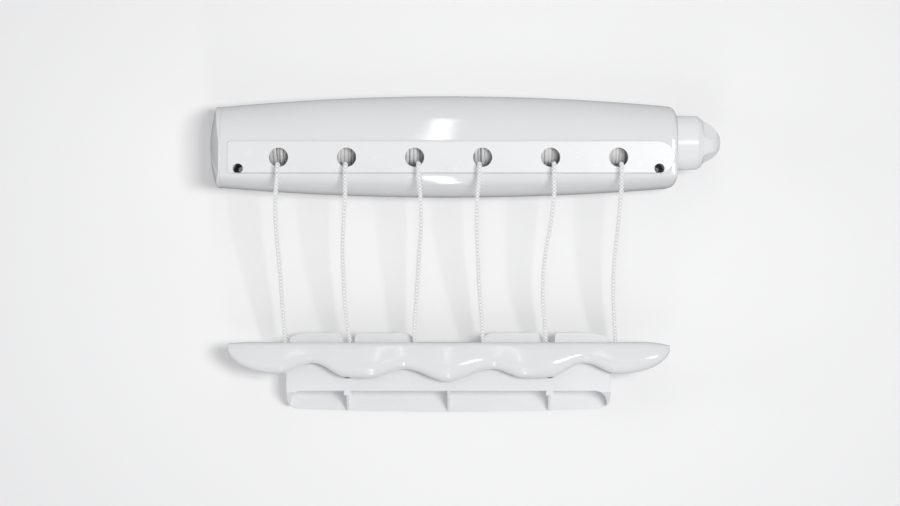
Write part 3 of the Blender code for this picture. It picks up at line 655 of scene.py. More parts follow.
def tube(name, path, diameter, sides, relief):
    """A closed tube along a path, its surface raised in diamonds, with the braid's own coordinates."""
    path = np.asarray(path, float)
    tangents = np.gradient(path, axis=0)
    tangents /= np.linalg.norm(tangents, axis=1)[:, None]
    side = np.cross(tangents[0], (1.0, 0.0, 0.0) if abs(tangents[0][0]) < 0.9 else (0.0, 1.0, 0.0))
    frames = []
    for tangent in tangents:
        side = side - tangent * (side @ tangent)
        side /= np.linalg.norm(side)
        frames.append(side)
    frames = np.array(frames)
    across = np.cross(tangents, frames)
    walked = walked_along(path)
    angles = 2 * math.pi * np.arange(sides) / sides
    along = walked[:, None] / BRAID_PERIOD
    around = BRAID_STRANDS * angles[None, :] / (2 * math.pi)
    diamonds = np.sqrt(np.abs(np.sin(math.pi * (around + along)) * np.sin(math.pi * (around - along))))
    radii = diameter / 2 + relief * (diamonds - MEAN_DIAMOND)
    ring = frames[:, None, :] * np.cos(angles)[None, :, None]
    ring = ring + across[:, None, :] * np.sin(angles)[None, :, None]
    points = (path[:, None, :] + radii[:, :, None] * ring).reshape(-1, 3)
    count = len(path)
    index = np.arange(count * sides).reshape(count, sides)
    turned_on = np.roll(index, -1, axis=1)
    quads = np.stack([index[:-1], index[1:], turned_on[1:], turned_on[:-1]], axis=-1).reshape(-1, 4)
    faces = quads.tolist() + [index[0].tolist(), index[-1][::-1].tolist()]
    mesh = bpy.data.meshes.new(name)
    mesh.from_pydata(points.tolist(), [], faces)
    low_u = np.broadcast_to(np.arange(sides) / sides, (count - 1, sides))
    high_u = low_u + 1.0 / sides
    near = np.broadcast_to(walked[:-1, None] / BRAID_PERIOD, (count - 1, sides))
    far = np.broadcast_to(walked[1:, None] / BRAID_PERIOD, (count - 1, sides))
    corners = np.stack([low_u, near, low_u, far, high_u, far, high_u, near], axis=-1).reshape(-1)
    caps = np.tile([0.5, 0.5], 2 * sides)
    layer = mesh.uv_layers.new(name="braid")
    layer.data.foreach_set("uv", np.concatenate([corners, caps]).astype(np.float32))
    settle(mesh)
    mesh.shade_smooth()
    mesh.set_sharp_from_angle(angle=math.radians(70))
    return placed(name, mesh)


def body_of(node):
    """The body that a CAD node moves with."""
    return frame["nodes"][node].parent.name.split(":", 1)[1]


def dress(made, material, slot, *nodes, ride=True):
    """Gives a piece its material, and lets it stand for its CAD nodes."""
    made.data.materials.clear()
    made.data.materials.append(material)
    if ride:
        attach(made, body_of(nodes[0]))
    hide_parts(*nodes)
    return made


def dress_node(node, material, bevel=0.0):
    """Keeps a CAD node, with its edges eased and a material of its own."""
    made = frame["nodes"][node]
    made.modifiers.new("weld", "WELD").merge_threshold = 0.000001
    if bevel:
        ease_edges(made, bevel, 2, 40)
    for slot in made.material_slots:
        slot.link = "OBJECT"
        slot.material = material


# ---------------------------------------------------------------- cords


def hole_x(lane):
    return HOLE_PITCH * (lane - (LANES - 1) / 2)


def lip_z(lane):
    """Height of a cord's centre where it rests on the lower lip of its hole."""
    free = HOLE_RADIUS - CORD / 2 - LIP_SLACK
    across = LIP_XS[lane] - hole_x(lane)
    return HOLE_Z - math.sqrt(free**2 - across**2)


def lead_route(lane):
    """(y, z) points of a lead: off the winding's underside, up to its hole, over the lip, then down."""
    z = lip_z(lane)
    reach = WINDING_RADIUS + CORD / 2 + GAP
    centre = Vector((-DEPTH + FACE_THICKNESS + PLATE_CLEARANCE, z - REAR_BEND))
    away = Vector((AXIS_Y, AXIS_Z)) - centre
    rise = math.atan2(away.x, away.y) - math.acos((reach + REAR_BEND) / away.length)
    leave = (AXIS_Y - reach * math.sin(rise), AXIS_Z - reach * math.cos(rise))
    rear = arc(tuple(centre), REAR_BEND, 90 - math.degrees(rise), 90, 3)
    middle = ((leave[0] + rear[0][0]) / 2, (leave[1] + rear[0][1]) / 2)
    return [leave, middle] + rear + arc((-DEPTH - LIP_OVERHANG, z - BEND), BEND, 90, 180, 6)


def make_lead(lane):
    """The stretch of cord from the winding to just below the hole."""
    x, z = LIP_XS[lane], lip_z(lane)
    points = smooth_route([(x, y, height) for y, height in lead_route(lane)], RING_SPACING)
    last = points[-1]
    stub = [last - np.array([0, 0, STUB * k / 3]) for k in (1, 2, 3)]
    path = np.concatenate([points, stub])
    lead = tube("lead_%d" % (lane + 1), path, CORD, CORD_SIDES, BRAID_RELIEF)
    dress(lead, BRAID, "cord_braid", "cord_lead_%d" % (lane + 1), ride=False)
    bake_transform(lead)


def make_cord(lane):
    """The free stretch of cord from its lead to the bar."""
    x = LIP_XS[lane]
    y = -DEPTH - LIP_OVERHANG - BEND
    z = lip_z(lane) - BEND - STUB - GAP
    route = [(x, y, z - STUB)]
    route += [(aside, depth, height) for aside, (height, depth) in zip(CORD_XS[lane], CORD_LEVELS)]
    top = [(x, y, z - STUB * k / 3) for k in (0, 1, 2)]
    path = np.concatenate([np.array(top), smooth_route(route, RING_SPACING)])
    number = lane + 1
    free = tube("line_%d" % number, path, CORD, CORD_SIDES, BRAID_RELIEF)
    dress(free, BRAID, "cord_braid", "cord_%d" % number, ride=False)
    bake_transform(free)


def make_winding(lane):
    """The wound cord as one long line: a full layer, then one back over it to where the cord leads out."""
    away, height = lead_route(lane)[0]
    leave = math.atan2(height - AXIS_Z, away - AXIS_Y)
    reach = math.hypot(height - AXIS_Z, away - AXIS_Y)
    middle = hole_x(lane)
    offset = LIP_XS[lane] - middle
    start = -1 if offset > 0 or lane == 1 else 1
    half = WINDING_HALF_WIDTH - CORD / 2 - WINDING_SPARE
    pitch = CORD + TURN_SPARE
    samples = []
    turns = 2 * half / pitch
    back = abs(offset - start * half) / pitch
    high = WINDING_RADIUS - CORD / 2 - WINDING_SPARE
    low = high - NESTING * CORD
    steps = int(turns * INNER_STEPS)
    for k in range(steps):
        share = k / steps
        samples.append((turns * share, low, middle - start * half * (2 * share - 1)))
    steps = int(back * OUTER_STEPS)
    for k in range(steps + 1):
        share = k / steps
        left = back * (1 - share)
        climb = min(1.0, share * back / CLIMB_TURNS)
        rise = max(0.0, 1 - left / LEAVE_TURNS)
        radius = low + (high - low) * climb * climb * (3 - 2 * climb) + (reach - high) * rise * rise
        x = middle + start * half + (offset - start * half) * share
        samples.append((turns + back * share, radius, x))
    total = samples[-1][0]
    path = []
    # The lay is a little uneven, all but its last turn
    for turn, radius, x in samples:
        phi = leave + 2 * math.pi * (total - turn)
        loose = min(1.0, total - turn)
        wander = 0.00016 * math.sin(1.7 * turn + lane) + 0.00010 * math.sin(5.3 * turn + 2 * lane)
        r = radius + 0.00012 * math.sin(2.9 * turn + 3 * lane) * loose
        path.append((x + wander * loose, AXIS_Y + r * math.cos(phi), AXIS_Z + r * math.sin(phi)))
    wound = tube("winding_%d" % (lane + 1), path, CORD, 12, BRAID_RELIEF / 4)
    dress(wound, WOUND_BRAID_PAINTED_LIGHT, "cord_braid", "cord_winding_%d" % (lane + 1))


def make_knot(lane):
    """An overhand knot pulled tight, below the end of its cord."""
    centre = np.array([CORD_XS[lane][-1], KNOT_Y, CORD_LEVELS[-1][0] - GAP - KNOT_DROP])
    t = np.linspace(0.35, 2 * math.pi - 0.35, 150)
    trefoil = (np.sin(t) + 2 * np.sin(2 * t), np.cos(t) - 2 * np.cos(2 * t), -1.1 * np.sin(3 * t))
    path = evenly(centre + np.stack(trefoil, axis=1) * KNOT_SCALE, KNOT_SPACING)
    knot = tube("knot_%d" % (lane + 1), path, KNOT_CORD, 16, KNOT_RELIEF)
    dress(knot, BRAID, "cord_braid", "cord_knot_%d" % (lane + 1))


# ---------------------------------------------------------------- housing


def corner_fall(x):
    """How far the housing's edge draws in at x, at the rounded corner of the right end."""
    past = min(CORNER_RADIUS, max(0.0, x - CORNER_START))
    return CORNER_RADIUS - math.sqrt(CORNER_RADIUS**2 - past**2)


def top_height(x):
    return TOP_HEIGHT - TOP_TAPER * (x / HOUSING_RIGHT) ** 2 - corner_fall(x)


def bottom_height(x):
    return BOTTOM_HEIGHT - BOTTOM_TAPER * (x / HOUSING_RIGHT) ** 2 - corner_fall(x)


def front_rounding(x):
    """How far the housing's front falls back at x, where it rolls over the right end."""
    share = max(0.0, (x - ROUNDING_START) / (HOUSING_RIGHT - ROUNDING_START))
    return FRONT_ROUNDING * (1 - math.sqrt(max(0.0, 1 - share**2)))


def front_profile(x, inset, steps=28, flat_steps=8):
    """The housing's outline in front of its highest line, as (y, z) points from lower to upper edge."""
    reach = DEPTH - inset + OVAL_Y - front_rounding(x)
    low_height = bottom_height(x) - inset
    height = top_height(x) - inset
    low_flat = FACE_BOTTOM - FLAT_MARGIN
    high_flat = FACE_TOP + FLAT_MARGIN
    lower = []
    upper = []
    for t in quarter_angles(steps):
        y = OVAL_Y - reach * math.sin(t)
        lower.append((y, low_flat - (low_height + low_flat) * math.cos(t)))
        upper.insert(0, (y, high_flat + (height - high_flat) * math.cos(t)))
    front = OVAL_Y - reach
    flat = [(front, low_flat + (high_flat - low_flat) * k / flat_steps) for k in range(1, flat_steps)]
    return lower + flat + upper


def stations(low, high, count=72):
    """The x of each section of the cover, closer together round the right end's corner."""
    xs = [low + (CORNER_START - low) * k / count for k in range(count + 1)]
    xs += [CORNER_START + (high - CORNER_START) * math.sin(t) for t in quarter_angles(8)[1:]]
    return xs


def face_outline(spare):
    """The face plate's outline, as (x, z) points: a full-round right end and a square left end."""
    middle = (FACE_TOP + FACE_BOTTOM) / 2
    half = (FACE_TOP - FACE_BOTTOM) / 2 + spare
    left = FACE_LEFT - spare + FACE_CORNER
    outline = arc((FACE_RIGHT + spare - half, middle), half, -90, 90, 40)
    outline += arc((left, middle + half - FACE_CORNER), FACE_CORNER, 90, 180, 10)
    outline += arc((left, middle - half + FACE_CORNER), FACE_CORNER, 180, 270, 10)
    return outline


def make_front_cover():
    """A thin shell, open behind, with the opening that the face plate fills."""
    xs = stations(HOUSING_LEFT, HOUSING_RIGHT)
    outer = [[(x, y, z) for y, z in front_profile(x, 0.0)] for x in xs]
    inner = [[(x, y, z) for y, z in front_profile(x, WALL)] for x in xs]
    rows = len(xs)
    width = len(outer[0])
    points = [p for ring in outer for p in ring] + [p for ring in inner for p in ring]
    shift = rows * width
    faces = []
    for r in range(rows - 1):
        for c in range(width - 1):
            a, b = r * width + c, (r + 1) * width + c
            faces.append((a, a + 1, b + 1, b))
            faces.append((a + shift, b + shift, b + shift + 1, a + shift + 1))
        for c in (0, width - 1):
            a, b = r * width + c, (r + 1) * width + c
            faces.append((a, b, b + shift, a + shift))
    for r in (0, rows - 1):
        for c in range(width - 1):
            a = r * width + c
            faces.append((a, a + 1, a + 1 + shift, a + shift))
    cover = mesh_object("cover", points, faces)
    cut(cover, prism_along_y("opening", face_outline(SEAM), -DEPTH - 0.01, -DEPTH + 0.01))
    smooth(cover, bevel=0.0002, angle=38, segments=2)
    dress(cover, COVER_WHITE, "housing_plastic", "front_cover")


def make_face_plate():
    """The strip with the six cord holes and, at its ends, the two ways in to the wall screws."""
    outlines = [face_outline(0.0)]
    outlines += [circle(hole_x(lane), HOLE_Z, HOLE_RADIUS, 72) for lane in range(LANES)]
    outlines += [circle(side * WALL_SCREW_X, WALL_SCREW_Z, ACCESS_RADIUS, 48) for side in (-1, 1)]
    face = plate("face_strip", outlines, -DEPTH, FACE_THICKNESS, FACE_EDGE)
    dress(face, FACE_WHITE, "face_plastic", "face_plate")


def cap_rim_lean(y):
    """How far the cap's rim leans out at y: nothing at the front, the most behind the highest line."""
    share = min(1.0, max(0.0, (OVAL_Y - y) / (DEPTH + OVAL_Y)))
    return CAP_LEAN * math.sqrt(1 - share**2)


def cap_ring(outline, offset, share, lean):
    """One ring of the left cap: its outline scaled by share, lean going from 0 at the joint to 1."""
    ring = []
    for y, z in outline:
        out = CAP_LEAN - (CAP_LEAN - cap_rim_lean(y)) * share
        ring.append((HOUSING_LEFT - SEAM - offset - out * lean, AXIS_Y + (y - AXIS_Y) * share, z * share))
    return ring


def make_left_end():
    """The left end cap: a solid lid with a leaning rim, rounded edges and a shallow dome."""
    outline = front_profile(HOUSING_LEFT, 0.0)
    high, low = top_height(HOUSING_LEFT), -bottom_height(HOUSING_LEFT)
    outline += [(OVAL_Y * (1 - k / 8), high) for k in range(1, 8)]
    outline += [(0.0, high + (low - high) * k / 12) for k in range(13)]
    outline += [(OVAL_Y * (k / 8), low) for k in range(1, 8)]
    # Each ring's distance from the joint, its share of the outline and its share of the lean
    places = [(0.0, 0.9975, 0.0), (0.0001, 0.9993, 0.0), (0.0003, 1.0, 0.0)]
    places += [(0.0003 + (CAP_EDGE - 0.0009) * k / 6, 1.0, k / 6) for k in range(1, 7)]
    places += [(CAP_EDGE - 0.0003, 0.9985, 1.0), (CAP_EDGE, 0.9945, 1.0)]
    shares = [0.985, 0.97, 0.95, 0.92] + [0.92 * (1 - k / 12) for k in range(1, 12)]
    places += [(CAP_EDGE + CAP_DOME * (1 - share**2), share, 1.0) for share in shares]
    rings = [cap_ring(outline, *place) for place in places]
    rings.append([(HOUSING_LEFT - SEAM - CAP_EDGE - CAP_DOME - CAP_LEAN, AXIS_Y, 0.0)])
    cap = loft("left_cap", rings)
    smooth(cap, angle=40)
    dress(cap, COVER_WHITE, "housing_plastic", "left_end_cap")


def knob_facet(name, angle):
    """The tool for one finger flat: a tilted plane with a rounded shoulder, facing the given angle."""
    turn = math.radians(angle)
    rings = []
    for side in (-FACET_HALF_WIDTH, FACET_HALF_WIDTH):
        ring = []
        for x, out in FACET_OUTLINE:
            y = AXIS_Y + out * math.cos(turn) - side * math.sin(turn)
            ring.append((x, y, AXIS_Z + out * math.sin(turn) + side * math.cos(turn)))
        rings.append(ring)
    return loft(name, rings)


def make_knob():
    """The grip, its outline eased between the solid's own points, and the round plug in its tip."""
    bore = KNOB_CAP_RADIUS + 0.0002
    eased = smooth_route([(x, radius, 0.0) for x, radius in KNOB_SHOULDER[2:]], 0.0006)
    rim = KNOB_LEFT - KNOB_RING_REACH
    profile = [(rim, KNOB_RING_BORE), (rim, KNOB_RADIUS), KNOB_SHOULDER[0], KNOB_SHOULDER[1]]
    profile += [(x, radius) for x, radius, _ in eased] + [(KNOB_CAP_EDGE, bore), (KNOB_CAP_SEAT, bore)]
    knob = turned("knob_grip", profile + list(KNOB_WELLS))
    for angle in FACET_ANGLES:
        cut(knob, knob_facet("facet", angle))
    smooth(knob, bevel=0.0007, angle=24, segments=3)
    dress(knob, KNOB_WHITE, "knob_plastic", "winding_knob")

    depth = KNOB_TIP - KNOB_CAP_EDGE
    seat = KNOB_CAP_SEAT + 0.0002
    profile = [(seat, 0), (seat, KNOB_CAP_RADIUS)]
    for t in quarter_angles(12)[:-1]:
        profile.append((KNOB_CAP_EDGE + depth * math.sin(t), KNOB_CAP_RADIUS * math.cos(t)))
    cap = turned("knob_plug", profile + [(KNOB_TIP, 0)], 64)
    smooth(cap, bevel=0.0002, angle=30, segments=2)
    dress(cap, KNOB_WHITE, "knob_plastic", "knob_cap")


def make_spring():
    """The knob's return spring, its end turns lying flat."""
    path = []
    for k in range(SPRING_STEPS + 1):
        share = k / SPRING_STEPS
        along = min(1.0, max(0.0, (share - 0.12) / 0.76))
        angle = 2 * math.pi * SPRING_TURNS * share
        x = SPRING_START + (SPRING_END - SPRING_START) * (0.09 * share + 0.91 * along)
        y = AXIS_Y + SPRING_RADIUS * math.cos(angle)
        path.append((x, y, AXIS_Z + SPRING_RADIUS * math.sin(angle)))
    spring = tube("return_spring", path, SPRING_WIRE, 12, 0.0)
    dress(spring, STEEL, "steel", "knob_spring")
    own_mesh(spring)


def make_screw(name, node, x, z, face_y, head, shank, length):
    """A pan-head screw pointing to -Y, its head at face_y, with a cross recess and a threaded shank."""
    profile = [(0.0, 0.0), (0.0, head * 0.55), (-0.0003, head * 0.85), (-0.0009, head), (-0.0019, head)]
    profile += [(-0.0020, shank)]
    pitch = 0.0009
    y = -0.0026
    while y - pitch > -length + 0.002:
        profile += [(y, shank * 0.86), (y - pitch * 0.5, shank * 1.12)]
        y -= pitch
    profile += [(y, shank * 0.86), (-length, 0.0003), (-length, 0.0)]
    rings = []
    for y, radius in profile:
        angles = turn_angles(40) if radius > 0 else [0.0]
        rings.append([(x + radius * math.cos(a), face_y + y, z + radius * math.sin(a)) for a in angles])
    screw = loft(name, rings)
    for dx, dz in ((0.0016, 0.00035), (0.00035, 0.0016)):
        low = (x - dx, face_y - 0.0011, z - dz)
        high = (x + dx, face_y + 0.001, z + dz)
        cut(screw, box("recess", low, high))
    smooth(screw, angle=40)
    dress(screw, STEEL, "steel", node)


# ---------------------------------------------------------------- bar and bracket


def bar_edge(x):
    """Height of the bar's wavy lower edge, which rounds up to its tips."""
    x = abs(x)
    last_x, last_z = BAR_EDGE[-1]
    if x >= last_x:
        share = min(1.0, (x - last_x) / (BAR_HALF_LENGTH - last_x))
        end_z = BAR_TOP - BAR_TIP_DROP
        return end_z - (end_z - last_z) * math.sqrt(1 - share**2)
    for (x0, z0), (x1, z1) in zip(BAR_EDGE, BAR_EDGE[1:]):
        if x <= x1:
            return z0 + (z1 - z0) * (1 - math.cos(math.pi * (x - x0) / (x1 - x0))) / 2
    return last_z


def bar_stations(count=180):
    """The x of each section of the bar, closer together towards its tips."""
    shares = [2 * k / count - 1 for k in range(count + 1)]
    return [(BAR_HALF_LENGTH - 0.0001) * math.sin(math.pi / 2 * share) for share in shares]


def past_tip_start(x):
    """How far x is into either tip of the bar, as a share."""
    return max(0.0, (abs(x) - BAR_TIP_START) / (BAR_HALF_LENGTH - BAR_TIP_START))


def bar_top(x):
    """Height of the bar's upper edge, which falls towards its tips, more at the right one."""
    return BAR_TOP - (BAR_RIGHT_FALL if x > 0 else BAR_LEFT_FALL) * past_tip_start(x) ** 2


def bar_swell(x):
    """How far the bar's front stands out at x, as a share: fuller at the lobes, thin at the tips."""
    fullness = BAR_END_FULLNESS
    if abs(x) < BAR_EDGE[-1][0]:
        lobe = (BAR_EDGE[-2][1] - bar_edge(x)) / (BAR_EDGE[-2][1] - BAR_EDGE[0][1])
        fullness = BAR_THIN + (1 - BAR_THIN) * min(1.0, max(0.0, lobe))
    tip = math.sqrt(max(0.0, 1 - past_tip_start(x) ** BAR_TIP_POWER))
    return fullness * (BAR_LEAST_SWELL + (1 - BAR_LEAST_SWELL) * tip)


def bar_section(x, outline):
    """(y, z) points: a flat back, and a front that swells to a ridge near the lower edge."""
    low = bar_edge(x)
    top = bar_top(x)
    height = top - low
    swell = (BAR_FRONT - BAR_BASE_Y) * bar_swell(x)
    edge = BAR_SPLIT_Y - 0.0003
    made = [(BAR_SPLIT_Y, low + height * 0.03), (BAR_SPLIT_Y, low + height * 0.5)]
    made += [(BAR_SPLIT_Y, top - height * 0.03), (edge, top)]
    made += [(BAR_BASE_Y + swell * out, top - height * down) for out, down in outline]
    made += [(edge, low)]
    return made


def make_bar():
    """The bar's shell, with a slot and a knot pocket for each cord, and the lid behind it."""
    outline = smooth_route([(out, 0.0, down) for out, down in FRONT_SHAPE], 0.045)
    outline = [(out, down) for out, _, down in outline]
    rings = [[(x, y, z) for y, z in bar_section(x, outline)] for x in bar_stations()]
    front = loft("bar_shell", rings)
    for lane in range(LANES):
        x = CORD_XS[lane][-1]
        back = BAR_SPLIT_Y + 0.001
        cut(front, box("slot", (x - 0.0026, -0.0446, -0.1950), (x + 0.0026, back, -0.1800)))
        cut(front, box("pocket", (x - 0.0052, -0.0490, -0.2010), (x + 0.0052, back, -0.1906)))
    smooth(front, angle=38)
    dress(front, BAR_WHITE, "bar_plastic", "bar_front")

    xs = [x for x in bar_stations() if abs(x) < BAR_HALF_LENGTH - 0.008]
    outline = [(x, bar_top(x) - BAR_INSET) for x in xs]
    outline += [(x, bar_edge(x) + BAR_INSET) for x in reversed(xs)]
    outlines = [outline] + [circle(x, BAR_SCREW_Z, BAR_SCREW_HOLE, 40) for x in BAR_SCREW_XS]
    back = plate("bar_lid", outlines, BAR_SPLIT_Y + GAP, BAR_BACK_Y - BAR_SPLIT_Y - GAP, 0.0004)
    dress(back, BAR_WHITE, "bar_plastic", "bar_back")


def bracket_block():
    """The bracket's outer form: straight sides, rounded lower corners and a bowed lower edge."""
    half = BRACKET_HALF_LENGTH
    inner = half - BRACKET_CORNER
    middle = BRACKET_BOTTOM + BRACKET_CORNER
    outline = [(half, BRACKET_SHOULDER), (-half, BRACKET_SHOULDER)]
    outline += arc((-half + BRACKET_CORNER, middle), BRACKET_CORNER, 180, 270, 16)
    for k in range(1, 32):
        x = inner * (k / 16 - 1)
        outline.append((x, BRACKET_BOTTOM - BOTTOM_BOW * (1 - (x / inner) ** 2)))
    outline += arc((inner, middle), BRACKET_CORNER, 270, 360, 16)
    return prism_along_y("bracket", outline, -BRACKET_DEPTH, 0.0)


def bracket_pockets(inner):
    """The four open pockets under the panel, as (x, z) outlines, rounded at the bracket's two ends."""
    edges = (-inner, -BRACKET_SCREW_X, 0.0, BRACKET_SCREW_X, inner)
    middle = PANEL_BOTTOM - POCKET_CORNER
    for k, (left, right) in enumerate(zip(edges, edges[1:])):
        low = left if k == 0 else left + GUSSET_HALF
        high = right if k == 3 else right - GUSSET_HALF
        pocket = [(low, BELOW_BRACKET), (high, BELOW_BRACKET)]
        if k == 3:
            pocket += arc((high - POCKET_CORNER, middle), POCKET_CORNER, 0, 90, 14)
        else:
            pocket.append((high, PANEL_BOTTOM))
        if k == 0:
            pocket += arc((low + POCKET_CORNER, middle), POCKET_CORNER, 90, 180, 14)
        else:
            pocket.append((low, PANEL_BOTTOM))
        yield pocket


def hump_outline(start, end, low_slope, high_slope):
    """One upstanding tongue of the panel, as (x, z) points, its upper corners falling away."""
    turns = quarter_angles(12)
    foot = BRACKET_SHOULDER - 0.004
    hump = [(start, foot), (end, foot)]
    for edge, slope, way in ((end, -high_slope, turns), (start, low_slope, turns[::-1])):
        for t in way:
            x = edge + slope * (1 - math.cos(t) ** 1.5)
            hump.append((x, BRACKET_TOP - HUMP_FALL * (1 - math.sin(t))))
    return hump


def make_bracket():
    """A wall box open at the top, with tongues along its front panel and pockets under it."""
    front = -BRACKET_DEPTH
    half = BRACKET_HALF_LENGTH
    inner = half - BRACKET_WALL
    bracket = bracket_block()
    low = (-inner, front + BRACKET_WALL, PANEL_BOTTOM + 0.0045)
    cut(bracket, box("channel", low, (inner, -BRACKET_WALL, -0.160)))
    wedge = [(front - 0.001, PANEL_BOTTOM - 0.0006)]
    wedge += [(-BRACKET_WALL, BRACKET_BOTTOM - BOTTOM_BOW - 0.0005)]
    wedge += [(-BRACKET_WALL, BELOW_BRACKET), (front - 0.001, BELOW_BRACKET)]
    cut(bracket, prism_along_x("wedge", wedge, -half - 0.01, half + 0.01))
    for pocket in bracket_pockets(inner):
        cut(bracket, prism_along_y("pocket", pocket, front - 0.01, -BRACKET_WALL))
    low = (-0.0015, front + 0.001, PANEL_BOTTOM + 0.002)
    join(bracket, box("rib", low, (0.0015, -0.001, -0.195)))
    for hump in HUMPS:
        join(bracket, prism_along_y("hump", hump_outline(*hump), front, front + BRACKET_WALL))
    for x in (-BRACKET_SCREW_X, BRACKET_SCREW_X):
        z = BRACKET_SCREW_Z
        join(bracket, rod_along_y("sleeve", x, z, SLEEVE_RADIUS, front + 0.001, -0.001))
        join(bracket, box("nub", (x - 0.0033, front + 0.0002, -0.2330), (x + 0.0033, -0.028, -0.2262)))
        cut(bracket, rod_along_y("access", x, z, BRACKET_ACCESS_RADIUS, -0.050, -0.005))
        cut(bracket, rod_along_y("shank", x, z, SHANK_HOLE_RADIUS, -0.050, 0.005))
    smooth(bracket, bevel=0.0008, angle=30, segments=3)
    dress(bracket, BRACKET_WHITE, "bracket_plastic", "wall_bracket")


# ---------------------------------------------------------------- studio


def sheet(name, corners):
    mesh = bpy.data.meshes.new(name)
    mesh.from_pydata(corners, [], [(0, 1, 2, 3)])
    return placed(name, mesh)


def make_wall():
    """A white wall with a painted pool of light: its colour is palest round the object and darker towards
    its edges. Only the camera sees it, and only from its front.
    """
    size = WALL_SIZE
    corners = [(-size, -size), (size, -size), (size, size), (-size, size)]
    wall = sheet("studio_wall", [(x, WALL_Y, z) for x, z in corners])
    paint = Nodes("studio_paint")
    paint.set(Roughness=0.9, IOR=1.3)
    parts = paint.add("ShaderNodeSeparateXYZ", Vector=paint.place())
    # Painted light: the colour is palest round the object and darker with distance from it, like a pool of
    # light on the wall.
    aside = paint.math("MULTIPLY", parts.outputs[0], 0.8)
    below = paint.math("ADD", parts.outputs[2], 0.07)
    span = paint.math("ADD", paint.math("MULTIPLY", aside, aside), paint.math("MULTIPLY", below, below))
    grain = paint.math("MULTIPLY", paint.noise(900.0), 0.004)
    distance = paint.math("ADD", paint.math("POWER", span, 0.5), grain)
    painted_light_falloff = paint.spread(distance, 0.0, 1.0, 0.08, 0.42)
    paint.set(Base_Color=paint.blend_colours(painted_light_falloff, (0.985, 0.985, 0.985), (0.86, 0.862, 0.865)))
    back = paint.add("ShaderNodeNewGeometry").outputs["Backfacing"]
    clear = paint.add("ShaderNodeBsdfTransparent")
    mixed = paint.add("ShaderNodeMixShader", i0=back, i1=paint.shader.outputs[0], i2=clear.outputs[0])
    paint.put(paint.tree.nodes["Material Output"].inputs["Surface"], mixed.outputs[0])
    wall.data.materials.append(paint.material)
    wall.visible_diffuse = False
    wall.visible_glossy = False
    wall.visible_transmission = False
    wall.visible_shadow = False
    return wall


def make_floor():
    """A pale floor well below the object, which throws some light up at it."""
    size = FLOOR_SIZE
    corners = [(-size, -size), (size, -size), (size, size), (-size, size)]
    floor = sheet("studio_floor", [(x, y, FLOOR_Z) for x, y in corners])
    pale = Nodes("studio_floor_paint")
    pale.set(Roughness=0.9)
    pale.shader.inputs["Base Color"].default_value = (0.94, 0.94, 0.945, 1)
    floor.data.materials.append(pale.material)
    return floor


def area_light(name, place, aim, size, radiance):
    """An area light of a given brightness, pointing at aim. Its height lies as near to +Z as it can."""
    data = bpy.data.lights.new(name, "AREA")
    data.shape = "RECTANGLE"
    data.size, data.size_y = size
    data.energy = math.pi * size[0] * size[1] * radiance
    made = placed(name, data)
    made.location = place
    made.rotation_mode = "QUATERNION"
    made.rotation_quaternion = (Vector(aim) - Vector(place)).to_track_quat("-Z", "Y")
    made.visible_camera = False


def make_lights():
    """A softbox in front on the right, narrow strips above and below, a weak fill on the left."""
    area_light("key", (1.00, -3.00, 0.03), (0.0, 0.0, -0.05), (1.0, 0.70), 20.0)
    area_light("strip_above", (-0.016, -1.9, 1.25), (0.0, -0.05, 0.0), (0.030, 2.4), 11.0)
    area_light("strip_below", (-0.014, -1.0, -1.6), (0.0, -0.05, -0.02), (0.036, 2.3), 14.0)
    area_light("left_fill", (-2.5, -0.65, 0.0), (-0.2, -0.04, -0.05), (1.0, 1.2), 3.2)


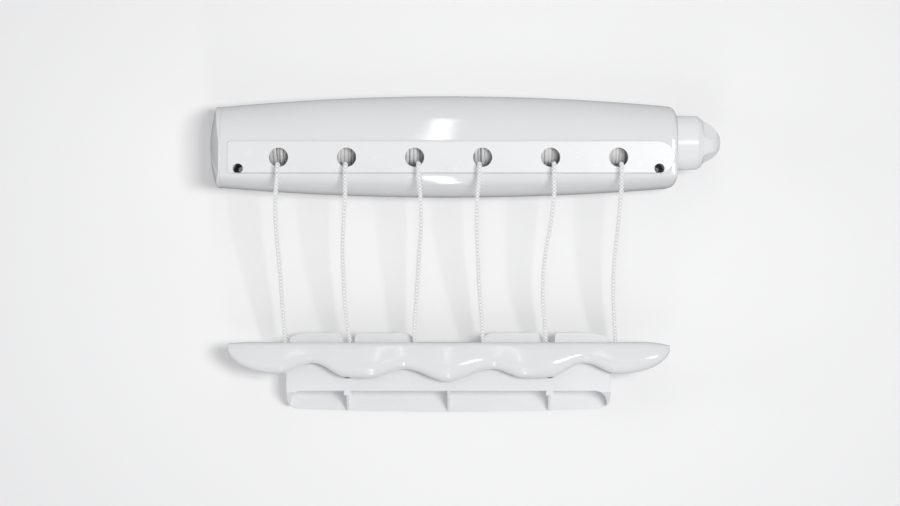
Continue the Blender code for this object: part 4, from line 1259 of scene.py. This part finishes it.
def make_world():
    """Light from all round: bright from above and below, dim from the sides."""
    world = bpy.data.worlds.new("studio")
    bpy.context.scene.world = world
    world.use_nodes = True
    tree = world.node_tree
    sky = tree.nodes["Background"]
    place = tree.nodes.new("ShaderNodeTexCoord")
    parts = tree.nodes.new("ShaderNodeSeparateXYZ")
    ramp = tree.nodes.new("ShaderNodeValToRGB")
    shift = tree.nodes.new("ShaderNodeMapRange")
    tree.links.new(place.outputs["Generated"], parts.inputs[0])
    tree.links.new(parts.outputs[2], shift.inputs[0])
    shift.inputs[1].default_value = -1.0
    shift.inputs[2].default_value = 1.0
    tree.links.new(shift.outputs[0], ramp.inputs[0])
    ramp.color_ramp.elements[0].color = (0.84, 0.84, 0.845, 1)
    ramp.color_ramp.elements[1].color = (0.78, 0.78, 0.79, 1)
    middle = ramp.color_ramp.elements.new(0.5)
    middle.color = (0.24, 0.24, 0.243, 1)
    tree.links.new(ramp.outputs[0], sky.inputs["Color"])
    sky.inputs["Strength"].default_value = 0.93


def make_camera():
    """A long lens straight in front, at the photograph's height and distance."""
    data = bpy.data.cameras.new("camera")
    data.lens = 129.0
    data.sensor_width = 36.0
    data.clip_start = 0.05
    data.clip_end = 50.0
    camera = placed("camera", data)
    camera.location = (0.0013, -3.076, -0.0986)
    camera.rotation_euler = (math.pi / 2, 0.0, 0.0)
    bpy.context.scene.camera = camera
    bpy.context.scene.view_settings.view_transform = "Standard"


make_camera()
for lane in range(LANES):
    make_lead(lane)
    make_cord(lane)
    make_winding(lane)
    make_knot(lane)
make_front_cover()
make_face_plate()
make_left_end()
make_knob()
make_spring()
make_bar()
make_bracket()
for side, x in (("left", -0.060), ("right", 0.060)):
    for height, z in (("upper", 0.0400), ("lower", -0.0362)):
        name = "cover_screw_%s_%s" % (height, side)
        make_screw("shell_" + name, name, x, z, -0.0008, 0.0030, 0.0013, 0.0440)
for number, x in enumerate(BAR_SCREW_XS, 1):
    names = ("lid_screw_%d" % number, "bar_screw_%d" % number)
    make_screw(*names, x, BAR_SCREW_Z, -0.0363, 0.0028, 0.0010, 0.0108)

# Solids that show as they are
for node, material, easing in (
    ("back_shell", COVER_WHITE, 0.0005),
    ("right_end_cap", COVER_WHITE, 0.0003),
    ("left_bush", NYLON, 0.0003),
    ("right_bush", NYLON, 0.0003),
    ("brake_pad", RUBBER, 0.0003),
    ("reel_drum", REEL_WHITE, 0.0003),
    ("reel_shaft", STEEL, 0.0002),
    ("knob_screw", STEEL, 0.0002),
):
    dress_node(node, material, easing)
make_wall()
make_floor()
make_lights()
make_world()
